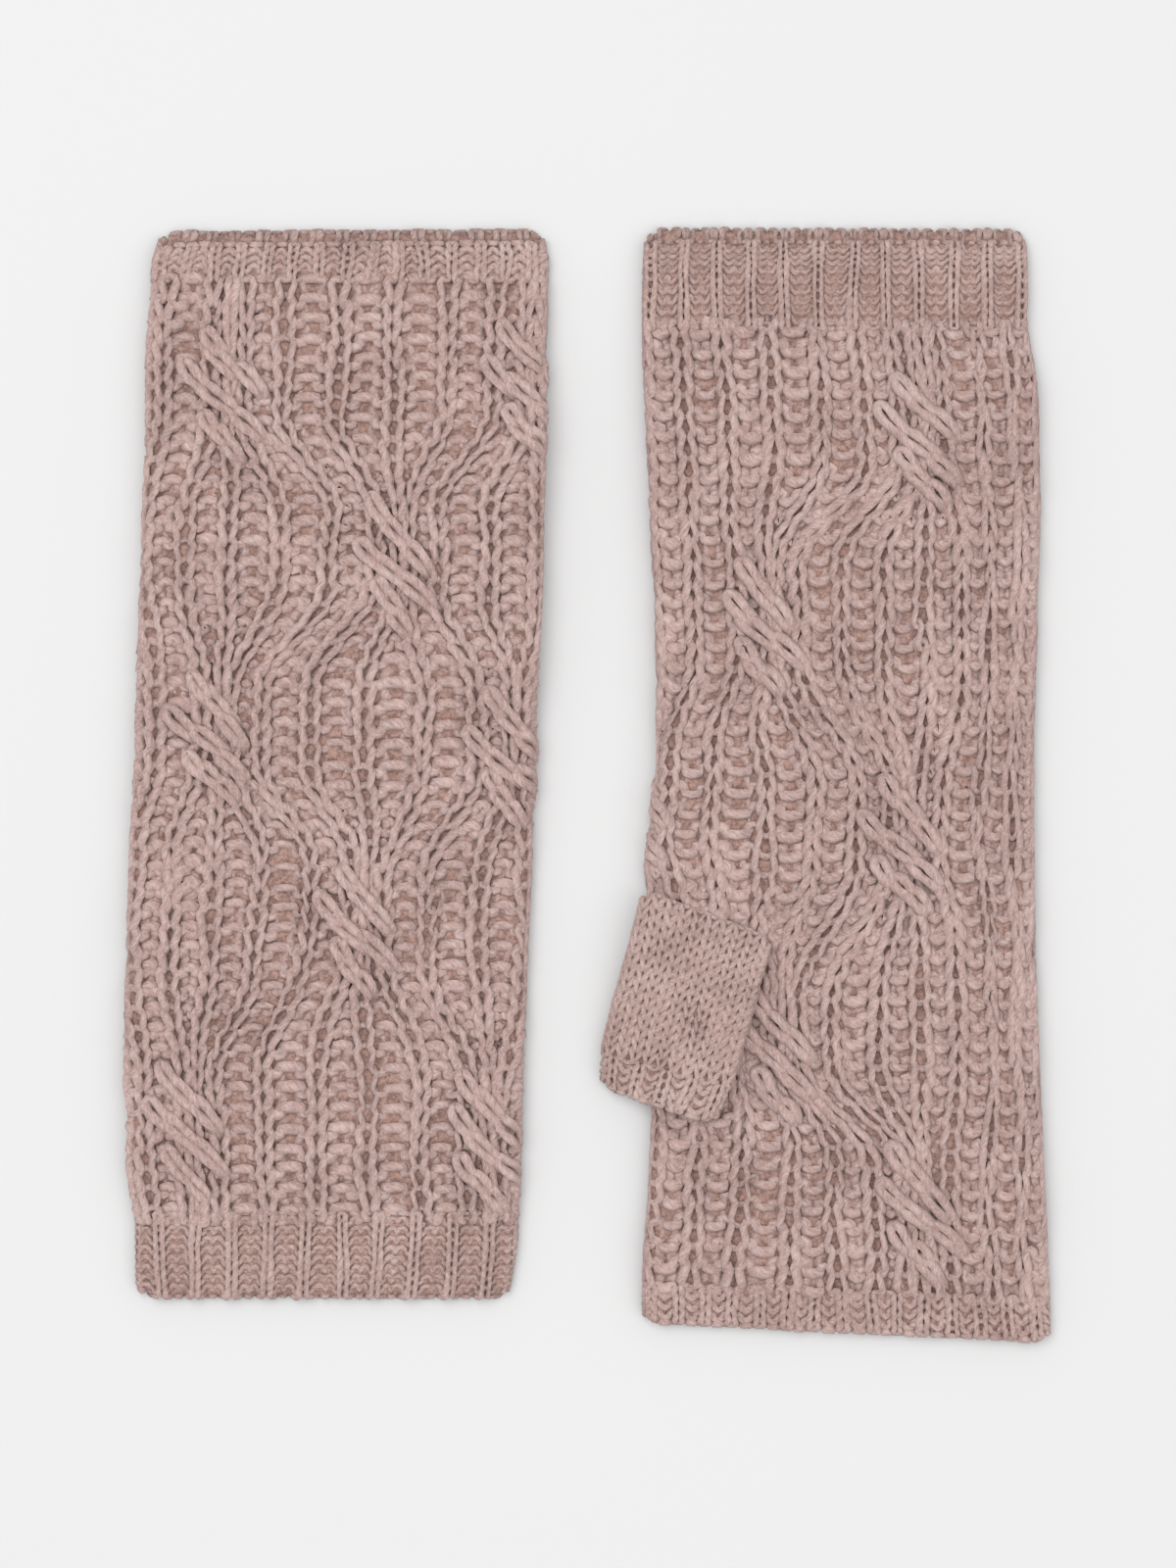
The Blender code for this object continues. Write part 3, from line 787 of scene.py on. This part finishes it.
def end_caps(lines, count):
    """Triangles from two hubs to the first and last ring of points on every line."""
    line = np.arange(lines)[:, None]
    side = np.arange(YARN_SIDES)[None, :]
    beside = (side + 1) % YARN_SIDES
    first = line * count * YARN_SIDES
    last = first + (count - 1) * YARN_SIDES
    hub = lines * count * YARN_SIDES + 2 * line + 0 * side
    start = np.stack([hub, first + side, first + beside], axis=-1)
    end = np.stack([hub + 1, last + beside, last + side], axis=-1)
    return np.concatenate([start, end]).reshape(-1, 3)


def yarn_piece(name, points, facing, radius, rng, material, closed=True):
    """One mesh of lines of yarn, which are closed rings or capped at both ends."""
    lines, count = radius.shape
    skin = rest_on_table(yarn_skin(points, facing, radius, closed))
    faces = yarn_faces(lines, count, YARN_SIDES, closed)
    shift = rng.uniform(0.0, COVER_SHIFT, (lines, 1))
    cover = yarn_cover(points, shift, closed)
    vertices = skin.reshape(-1, 3)
    if closed:
        return fill_mesh(name, vertices, faces, cover, material)
    hubs = skin[:, [0, -1]].mean(axis=2).reshape(-1, 3)
    vertices = np.concatenate([vertices, hubs])
    return fill_mesh(name, vertices, faces, cover, material, end_caps(lines, count))


def lean_of(tube, around, travel):
    """Sideways lean of a rib towards its open edge, where its two waves add up."""
    if not tube.ends.lean:
        return 0.0
    linked = tube.start if tube.ends.lean > 0 else tube.end
    away = np.abs(travel - linked) / (tube.end - tube.start)
    first, second = (2 * math.pi * n * around / ring_length(tube) for n in RIB_LEAN_WAVES)
    return RIB_LEAN * ease(away) * (np.sin(first) + np.sin(second + RIB_LEAN_PHASE)) / 2


def knit_rings(tube, gauge, table, courses, rng, knots=(), pitch=1.0):
    """Centre lines, directions and radius of a tube's courses, one ring for each.

    Unevenness is drawn for the travel, the seams, around, out and the radius in turn.
    """
    columns = stitch_columns(table, ring_length(tube))
    height = (tube.end - tube.start) / courses
    share, upward, outward = stitch_line(gauge, columns, height)
    extra = tube.ends.extra
    courses = courses + extra
    sizes = (courses, len(columns.starts), gauge.segments)
    rough = np.where(columns.yarns < FINE_YARN, FINE_UNEVEN, 1.0)[:, None]
    centres = tube.start + height * (np.arange(courses) + 0.5 - extra)
    travel = centres[:, None, None] + upward + rough * wander(rng, *sizes, gauge.drift)
    ragged = SEAM_UNEVEN * rng.uniform(0.0, 1.0, (2, len(columns.starts), 1))
    low = tube.start + tube.ends.start - ragged[0] * (tube.ends.start < 0)
    high = tube.end - tube.ends.end + ragged[1] * (tube.ends.end < 0)
    travel = np.clip(travel, low, high)
    left, right = column_sides(tube, columns, knots, pitch, travel)
    around = left + share * (right - left) + rough * wander(rng, *sizes, gauge.drift)
    around = around + lean_of(tube, around, travel)
    room = np.clip((right - left) / columns.widths[:, None], 0.0, 1.0)
    knit = (columns.kinds == KNIT)[:, None]
    raised = np.where(knit, KNIT_SWELL, -PURL_SINK) * (1 - room)
    out = outward + raised + wander(rng, *sizes, gauge.drift * OUT_DRIFT)
    thin = np.where(knit, 1.0, PURL_THINNEST + (1 - PURL_THINNEST) * room)
    yarn = gauge.yarn * columns.yarns[:, None] * thin
    radius = yarn * (1 + wander(rng, *sizes, YARN_UNEVEN))
    points, facing = place(tube, travel, around, out)
    lines = (courses, sizes[1] * gauge.segments)
    return points.reshape(*lines, 3), facing.reshape(*lines, 3), radius.reshape(lines)


def cable_loops(tube, gauge, knots, way, rng):
    """Long loops that cross in front in every cable, chained from foot to head.

    A chain shifts sideways with share s of its height as f s + (1 - f)(3s^2 - 2s^3).
    At u of a loop the distance from its feet is l sin(pi u)^p. With c = cos(pi u) its
    sideways offset is -w c (1.5 - 0.5 c^2), less at the feet, so that two legs lie
    side by side and close in a round head. The feet sink under the loop before.
    """
    u = np.linspace(0.0, 1.0, LOOP_POINTS)
    turned = np.cos(math.pi * u)
    reach = np.sin(math.pi * u) ** LOOP_BLUNT
    spread = -turned * (1.5 - 0.5 * turned**2) * (LOOP_FOOT + (1 - LOOP_FOOT) * ease(reach))
    lines = []
    for knot_around, knot_travel, _, _ in knots:
        for head_x, head_y, foot_x, foot_y in CABLE_STRANDS:
            foot = np.array([foot_x, way * foot_y]) + rng.normal(0.0, LOOP_UNEVEN, 2)
            head = np.array([head_x, way * head_y]) + rng.normal(0.0, LOOP_UNEVEN, 2)
            step = head - foot
            for number in range(LOOPS_IN_CHAIN):
                start = number * (1 - LOOP_SHARE) / (LOOPS_IN_CHAIN - 1)
                share = start + LOOP_SHARE * rng.uniform(*LOOP_RANGE) * reach
                flow = LOOP_FLOW * share + (1 - LOOP_FLOW) * ease(share)
                across = step[0] * (LOOP_FLOW + (1 - LOOP_FLOW) * 6 * share * (1 - share))
                norm = np.hypot(across, step[1])
                off = LOOP_WIDTH * rng.uniform(*LOOP_RANGE) * spread
                off = off + rng.normal(0.0, LOOP_UNEVEN)
                spot = foot[0] + step[0] * flow + off * step[1] / norm
                run = foot[1] + step[1] * share - off * across / norm
                lift = ease(reach / LOOP_CLIMB) * (1 - LOOP_DROOP * reach**LOOP_DROOP_POWER)
                out = (LOOP_RISE + LOOP_BURY) * lift - LOOP_BURY
                lines.append((knot_around + spot, knot_travel + run, out))
    around, travel, out = (np.stack([line[i] for line in lines]) for i in range(3))
    points, facing = place(tube, travel, around, out)
    radius = np.full(around.shape, gauge.yarn * LOOP_YARN)
    radius = radius * (1 + rng.normal(0.0, YARN_UNEVEN / 2, around.shape))
    return points, facing, radius


def ground_piece(name, tube, gauge, material):
    """Thin closed shell on the tube's form, just under the fronts of the stitches.

    Its section is a ring; outer rings run from one end of the tube to the other and
    inner rings run back, so that the grid closes both ways.
    """
    ring = ring_length(tube)
    rows = int(round((tube.end - tube.start) / GROUND_STEP))
    columns = int(round(ring / GROUND_STEP))
    low, high = (m + GROUND_BACK * (m > SEAM_UNDER) for m in tube.ends[:2])
    travel = np.linspace(tube.start + low, tube.end - high, rows)
    travel = np.concatenate([travel, travel[::-1]])[:, None]
    level = np.full((2 * rows, 1), -GROUND_SINK * gauge.depth)
    level[rows:] -= GROUND_THICKNESS
    around = ring * np.arange(columns)[None, :] / columns
    travel, around, level = np.broadcast_arrays(travel, around, level)
    points, _ = place(tube, travel, around, level)
    points = rest_on_table(points)
    faces = yarn_faces(1, 2 * rows, columns, True)
    row, column = np.meshgrid(np.arange(2 * rows), np.arange(columns), indexing="ij")
    ends = [(row, column), (row + 1, column), (row + 1, column + 1), (row, column + 1)]
    u = np.stack([c for _, c in ends], axis=-1) * ring / columns
    v = np.stack([r for r, _ in ends], axis=-1) * (tube.end - tube.start) / rows
    cover = np.stack([u, v], axis=-1).reshape(-1, 2)
    return fill_mesh(name, points.reshape(-1, 3), faces, cover, material)


def add_node(tree, kind, settings=None, inputs=None, output=0):
    """Add a shader node, set its options, fill or link its inputs, and give an output."""
    node = tree.nodes.new("ShaderNode" + kind)
    for key, value in (settings or {}).items():
        setattr(node, key, value)
    for key, value in (inputs or {}).items():
        if isinstance(value, bpy.types.NodeSocket):
            tree.links.new(value, node.inputs[key])
        else:
            node.inputs[key].default_value = value
    return node.outputs[output]


def new_material(name, finish):
    """New node material, its tree, and its shader with the finish on its sockets."""
    material = bpy.data.materials.new(name)
    material.use_nodes = True
    shader = material.node_tree.nodes["Principled BSDF"]
    for socket, value in finish.items():
        shader.inputs[socket].default_value = value
    return material, material.node_tree, shader


def tone(colour, share):
    """The colour made darker or lighter."""
    return (*(min(1.0, value * share) for value in colour[:3]), 1.0)


def yarn_material(name, colour, style, ply_mm, fluff):
    """Soft two-ply wool: twisted plies, streaks of fibre and a heathered colour.

    The plies are sin(2 pi (2 v + u / ply)), with u along the yarn and v round it.
    Fibre streaks are noise stretched along the yarn and closed round it. Loose
    fibres are the thin borders of cells, bent by noise, that cross many stitches.
    """
    # Wool is matt; the sheen is light caught by the nap at the rims of the strands.
    finish = {**WOOL_FINISH, "Sheen Tint": hex_to_linear(SHEEN_TINT)}
    material, tree, shader = new_material(name, finish)
    turn = 2 * math.pi
    # Real finish: carded wool spun in two plies, washed soft and slightly felted.
    # Plies: the eye reads a twisted strand instead of a smooth cord.
    cover = add_node(tree, "UVMap", {"uv_map": "cover"})
    dot = {"operation": "DOT_PRODUCT"}
    twist = {0: cover, 1: (turn / ply_mm, 2 * turn, 0.0)}
    phase = add_node(tree, "VectorMath", dot, twist, "Value")
    plies = add_node(tree, "Math", {"operation": "SINE"}, {0: phase})
    # Streaks: fibres some millimetres long that follow the twist, light and dark.
    spin = add_node(tree, "Math", {"operation": "MULTIPLY"}, {0: phase, 1: 0.5})
    wide = add_node(tree, "Math", {"operation": "COSINE"}, {0: spin})
    high = add_node(tree, "Math", {"operation": "SINE"}, {0: spin})
    run = add_node(tree, "VectorMath", dot, {0: cover, 1: STREAK_DRAW}, "Value")
    lie = add_node(tree, "CombineXYZ", None, {0: run, 1: wide, 2: high})
    streaks = add_node(tree, "TexNoise", None, {**STREAK_NOISE, "Vector": lie})
    # Patches: heathered wool drifts in tone over a few stitches.
    where = add_node(tree, "TexCoord", output="Object")
    patches = add_node(tree, "TexNoise", None, {**PATCH_NOISE, "Vector": where})
    add_scaled = {"operation": "MULTIPLY_ADD"}
    drift = add_node(tree, "Math", add_scaled, {**PATCH_SHIFT, 0: patches})
    mixed = add_node(tree, "Math", None, {0: streaks, 1: drift})
    ramp = add_node(tree, "ValToRGB", None, {0: mixed})
    stops = ramp.node.color_ramp.elements
    dark, middle, pale = TONE_STOPS
    stops[0].position = dark
    stops[0].color = tone(colour, 1 - style.heather)
    stops[1].position = pale
    stops[1].color = style.nap_colour
    stops.new(middle).color = colour
    # Loose fibres: pale hairs over the stitches blur their edges, as on brushed wool.
    sway = add_node(tree, "TexNoise", None, {**HAIR_NOISE, "Vector": where}, "Color")
    path = add_node(tree, "VectorMath", add_scaled, {0: sway, 1: HAIR_BEND, 2: where})
    look = {"Vector": path, "Scale": HAIR_SCALE}
    cells = add_node(tree, "TexVoronoi", {"feature": "DISTANCE_TO_EDGE"}, look, "Distance")
    hairs = add_node(tree, "MapRange", None, {**HAIR_RANGE, "Value": cells})
    share = {0: hairs, 1: HAIR_STRENGTH}
    weight = add_node(tree, "Math", {"operation": "MULTIPLY"}, share)
    sides = {0: weight, 6: ramp, 7: style.nap_colour}
    mix = add_node(tree, "Mix", {"data_type": "RGBA"}, sides, 2)
    # Painted shade: the wool's colour is darkened near the table, standing in for the shade that
    # rounds the folds and sets the back layer off at an open edge.
    level = add_node(tree, "SeparateXYZ", None, {0: where}, 2)
    smooth = {"interpolation_type": "SMOOTHSTEP"}
    # Painted shade: darkening of the colour by height above the table.
    light = add_node(tree, "MapRange", smooth, {**PAINTED_SHADE_RANGE, "Value": level})
    wool = add_node(tree, "VectorMath", {"operation": "MULTIPLY"}, {0: mix, 1: light})
    tree.links.new(wool, shader.inputs["Base Color"])
    # Relief: plies and streaks break up the light on every strand.
    height = add_node(tree, "Math", add_scaled, {0: plies, 1: PLY_RELIEF, 2: streaks})
    bump = add_node(tree, "Bump", None, {"Strength": 1.0, "Distance": fluff, "Height": height})
    tree.links.new(bump, shader.inputs["Normal"])
    return material


def ground_material(name, colour):
    """Felted backs of the stitches: wool with a fine fibrous grain, darker than the yarn as
    painted shade.
    """
    material, tree, shader = new_material(name, FELT_FINISH)
    # Real finish: the matted wool seen through the loops, without gloss; its darker colour is
    # painted shade.
    where = add_node(tree, "TexCoord", output="Object")
    grain = add_node(tree, "TexNoise", None, {**FELT_NOISE, "Vector": where})
    ramp = add_node(tree, "ValToRGB", None, {0: grain})
    for stop, (position, share) in zip(ramp.node.color_ramp.elements, FELT_STOPS):
        stop.position = position
        stop.color = tone(colour, share)
    tree.links.new(ramp, shader.inputs["Base Color"])
    bump = add_node(tree, "Bump", None, {**FELT_RELIEF, "Height": grain})
    tree.links.new(bump, shader.inputs["Normal"])
    return material


def finish_piece(node, ground, yarns):
    """Attach a ground shell and the yarn pieces that go with it to the root, and hide the solid
    under them.
    """
    for piece in (ground, *yarns):
        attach(piece, "root")
    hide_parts(node)


def knit_tube(style, node, tube, gauge, table, courses, colour, seed, rests_on=(), cables=()):
    """One knitted tube: its courses, the loops of its cables, and its ground.

    The cables of a body are its knots, the width of a wale and which way its travel
    runs in the picture, and its courses are cut in two pieces.
    """
    rng = np.random.default_rng(seed)
    ply, share = CHUNKY_SPIN if cables else FINE_SPIN
    wool = yarn_material(f"{node}_wool", colour, style, ply, share * style.fluff)
    # The felt is the same wool as the yarn, darkened as painted shade in the gaps between the
    # loops.
    felt = ground_material(f"{node}_felt", style.shaded_gap_colour)
    knots, pitch, way = cables or ((), 1.0, 1.0)
    lines = knit_rings(tube, gauge, table, courses, rng, knots, pitch)
    half = courses // 2
    parts = {"yarn": slice(None)}
    if cables:
        parts = {"yarn_wrist": slice(0, half), "yarn_fingers": slice(half, None)}
    yarns = []
    for part, rings in parts.items():
        line = [values[rings] for values in lines]
        yarns.append(yarn_piece(f"{node}_{part}", *line, rng, wool))
    if cables:
        loops = cable_loops(tube, gauge, knots, way, rng)
        yarns.append(yarn_piece(f"{node}_cables", *loops, rng, wool, closed=False))
    ground = ground_piece(f"{node}_ground", tube, gauge, felt)
    finish_piece(node, ground, yarns)


def lay_floor(stage):
    """Pale matt board under the mittens."""
    finish = {"Base Color": stage.floor_colour, "Roughness": BOARD_ROUGHNESS}
    material, tree, shader = new_material("pale_board", finish)
    # Real finish: smooth matt card; the faint grain keeps its light soft.
    where = add_node(tree, "TexCoord", output="Object")
    grain = add_node(tree, "TexNoise", None, {**BOARD_NOISE, "Vector": where})
    bump = add_node(tree, "Bump", None, {**BOARD_RELIEF, "Height": grain})
    tree.links.new(bump, shader.inputs["Normal"])
    mesh = bpy.data.meshes.new("floor")
    half, low = FLOOR_HALF, -FLOOR_GAP
    corners = [(-half, -half, low), (half, -half, low), (half, half, low), (-half, half, low)]
    mesh.from_pydata(corners, [], [(0, 1, 2, 3)])
    mesh.materials.append(material)
    floor = bpy.data.objects.new("floor", mesh)
    bpy.context.scene.collection.objects.link(floor)


def set_lights(stage):
    """Large soft box above, a weaker one beside it, and an even pale surround."""
    scene = bpy.context.scene
    for (name, spot, size), power in zip(SOFTBOXES, (stage.overhead, stage.side)):
        light = bpy.data.lights.new(name, "AREA")
        light.shape = "SQUARE"
        light.size = size
        light.energy = power
        lamp = bpy.data.objects.new(name, light)
        lamp.location = spot
        tilt = math.atan2(math.hypot(spot[0], spot[1]), spot[2])
        lamp.rotation_euler = (tilt, 0.0, math.atan2(spot[0], -spot[1]))
        scene.collection.objects.link(lamp)
    world = bpy.data.worlds.new("pale_surround")
    world.use_nodes = True
    background = world.node_tree.nodes["Background"]
    background.inputs["Color"].default_value = hex_to_linear(SURROUND_COLOUR)
    background.inputs["Strength"].default_value = stage.surround
    scene.world = world
    scene.view_settings.view_transform = "Standard"


def set_camera(stage):
    """Camera straight above, framed as in the photograph."""
    camera = bpy.data.cameras.new("camera")
    camera.lens = stage.lens
    camera.sensor_width = SENSOR_MM
    eye = bpy.data.objects.new("camera", camera)
    height = (FRAME_HEIGHT_MM * stage.lens / SENSOR_MM + BODY_THICKNESS) * MM
    eye.location = (0.0, 0.0, height)
    bpy.context.scene.collection.objects.link(eye)
    bpy.context.scene.camera = eye


def colour_setting(name, description, code):
    """Colour that a user may change, from an sRGB hex value."""
    look = {"default": hex_to_linear(code), "size": 4, "subtype": "COLOR"}
    return bpy.props.FloatVectorProperty(name=name, description=description, **look)


def length_setting(name, description, size):
    """Length that a user may change, from millimetres."""
    look = {"default": size * MM, "unit": "LENGTH", "subtype": "DISTANCE"}
    return bpy.props.FloatProperty(name=name, description=description, **look)


class MittenSettings(bpy.types.PropertyGroup):
    """Sizes and colours of the knitting."""

    body_yarn: length_setting(
        "Body yarn", "Radius of the chunky yarn of the bodies", BODY_GAUGE.yarn
    )
    rib_yarn: length_setting("Rib yarn", "Radius of the fine yarn of the ribs", RIB_GAUGE.yarn)
    thumb_yarn: length_setting("Thumb yarn", "Radius of the yarn of the thumbs", THUMB_GAUGE.yarn)
    fluff: length_setting("Fluff", "Depth of the fibre relief on the body yarn", 0.55)
    heather: bpy.props.FloatProperty(
        name="Heather",
        description="How far the darkest fibres fall below the main colour",
        default=0.22,
        subtype="FACTOR",
    )
    nap_colour: colour_setting("Nap colour", "Palest fibres on every strand", "#c9b2ac")
    body_colour: colour_setting("Body colour", "Main colour of the bodies' wool", "#b69993")
    rib_colour: colour_setting("Rib colour", "Main colour of the ribs' wool", "#b3968f")
    thumb_colour: colour_setting("Thumb colour", "Main colour of the thumbs' wool", "#b39790")
    # Painted shade: the wool behind the loops is darker than the yarn, standing in for the shade
    # in the gaps.
    shaded_gap_colour: colour_setting("Gap colour", "Wool in the gaps between the loops", "#9c7f76")


class StageSettings(bpy.types.PropertyGroup):
    """Floor, light and camera."""

    floor_colour: colour_setting("Floor", "Colour of the pale board", "#d3d3d3")
    overhead: bpy.props.FloatProperty(
        name="Overhead light",
        description="Power of the large soft box above the mittens in watts",
        default=17.0,
    )
    side: bpy.props.FloatProperty(
        name="Side light",
        description="Power of the soft box beside the mittens in watts",
        default=5.0,
    )
    surround: bpy.props.FloatProperty(
        name="Surround",
        description="Strength of the even pale light from all sides",
        default=0.8,
    )
    lens: bpy.props.FloatProperty(
        name="Focal length",
        description="Focal length of the camera in millimetres",
        default=100.0,
        subtype="DISTANCE_CAMERA",
    )


class MITTENS_OT_bodies(bpy.types.Operator):
    """Knit both chunky bodies with their cables"""

    bl_idname = "mittens.bodies"
    bl_label = "Knit bodies"

    def execute(self, context):
        style = context.scene.mittens
        gauge = BODY_GAUGE._replace(yarn=style.body_yarn / MM)
        for side, (rows, table, crossings, pitch, way, seed), settle, rests in (
            ("left", LEFT_BODY, lie_over_thumb, ["left_thumb_ground"]),
            ("right", RIGHT_BODY, dent_under_thumb, []),
        ):
            tube = make_tube(rows, *BODY, gauge.depth, settle)
            cables = (knot_places(tube, crossings, way), pitch, way)
            line = (tube, gauge, table, BODY_COURSES, style.body_colour, seed)
            knit_tube(style, f"{side}_body", *line, rests, cables)
        return {"FINISHED"}


class MITTENS_OT_ribs(bpy.types.Operator):
    """Knit the wrist ribs and finger ribs"""

    bl_idname = "mittens.ribs"
    bl_label = "Knit ribs"

    def execute(self, context):
        style = context.scene.mittens
        for node, rows, part, opening, gauge, table, courses, seed in RIBS:
            if gauge is RIB_GAUGE:
                gauge = gauge._replace(yarn=style.rib_yarn / MM)
            tube = make_tube(rows, *part, gauge.depth, opening=opening)
            knit_tube(style, node, tube, gauge, table, courses, style.rib_colour, seed)
        return {"FINISHED"}


class MITTENS_OT_thumbs(bpy.types.Operator):
    """Knit the thumbs and their rib bands"""

    bl_idname = "mittens.thumbs"
    bl_label = "Knit thumbs"

    def execute(self, context):
        style = context.scene.mittens
        for side, rows, settle, rests in (
            ("left", LEFT_THUMB_ROWS, None, []),
            ("right", RIGHT_THUMB_ROWS, droop_past_palm, ["right_body_ground"]),
        ):
            for values, seed in zip(THUMB_PARTS, THUMB_SEEDS[side]):
                node, part, gauge, table, courses = values
                gauge = gauge._replace(yarn=style.thumb_yarn / MM)
                tube = make_tube(rows, *part, gauge.depth, settle)
                line = (tube, gauge, table, courses, style.thumb_colour, seed)
                knit_tube(style, f"{side}_{node}", *line, rests)
        return {"FINISHED"}


class MITTENS_OT_stage(bpy.types.Operator):
    """Lay the pale floor and set the soft lights and the camera"""

    bl_idname = "mittens.stage"
    bl_label = "Set stage"

    def execute(self, context):
        stage = context.scene.mittens_stage
        lay_floor(stage)
        set_lights(stage)
        set_camera(stage)
        return {"FINISHED"}


class MITTENS_PT_panel(bpy.types.Panel):
    """Sidebar panel that lists the steps"""

    bl_label = "Mittens"
    bl_idname = "MITTENS_PT_panel"
    bl_space_type = "VIEW_3D"
    bl_region_type = "UI"
    bl_category = "Mittens"

    def draw(self, context):
        for operator in OPERATORS:
            self.layout.operator(operator.bl_idname)


OPERATORS = (MITTENS_OT_ribs, MITTENS_OT_thumbs, MITTENS_OT_bodies, MITTENS_OT_stage)
CLASSES = (MittenSettings, StageSettings, *OPERATORS, MITTENS_PT_panel)


def register():
    """Add the classes and the settings to Blender."""
    for cls in CLASSES:
        bpy.utils.register_class(cls)
    bpy.types.Scene.mittens = bpy.props.PointerProperty(type=MittenSettings)
    bpy.types.Scene.mittens_stage = bpy.props.PointerProperty(type=StageSettings)


def unregister():
    """Take them out again."""
    del bpy.types.Scene.mittens
    del bpy.types.Scene.mittens_stage
    for cls in reversed(CLASSES):
        bpy.utils.unregister_class(cls)


def main():
    """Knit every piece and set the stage."""
    register()
    bpy.ops.mittens.ribs()
    bpy.ops.mittens.thumbs()
    bpy.ops.mittens.bodies()
    bpy.ops.mittens.stage()


if __name__ == "__main__":
    main()
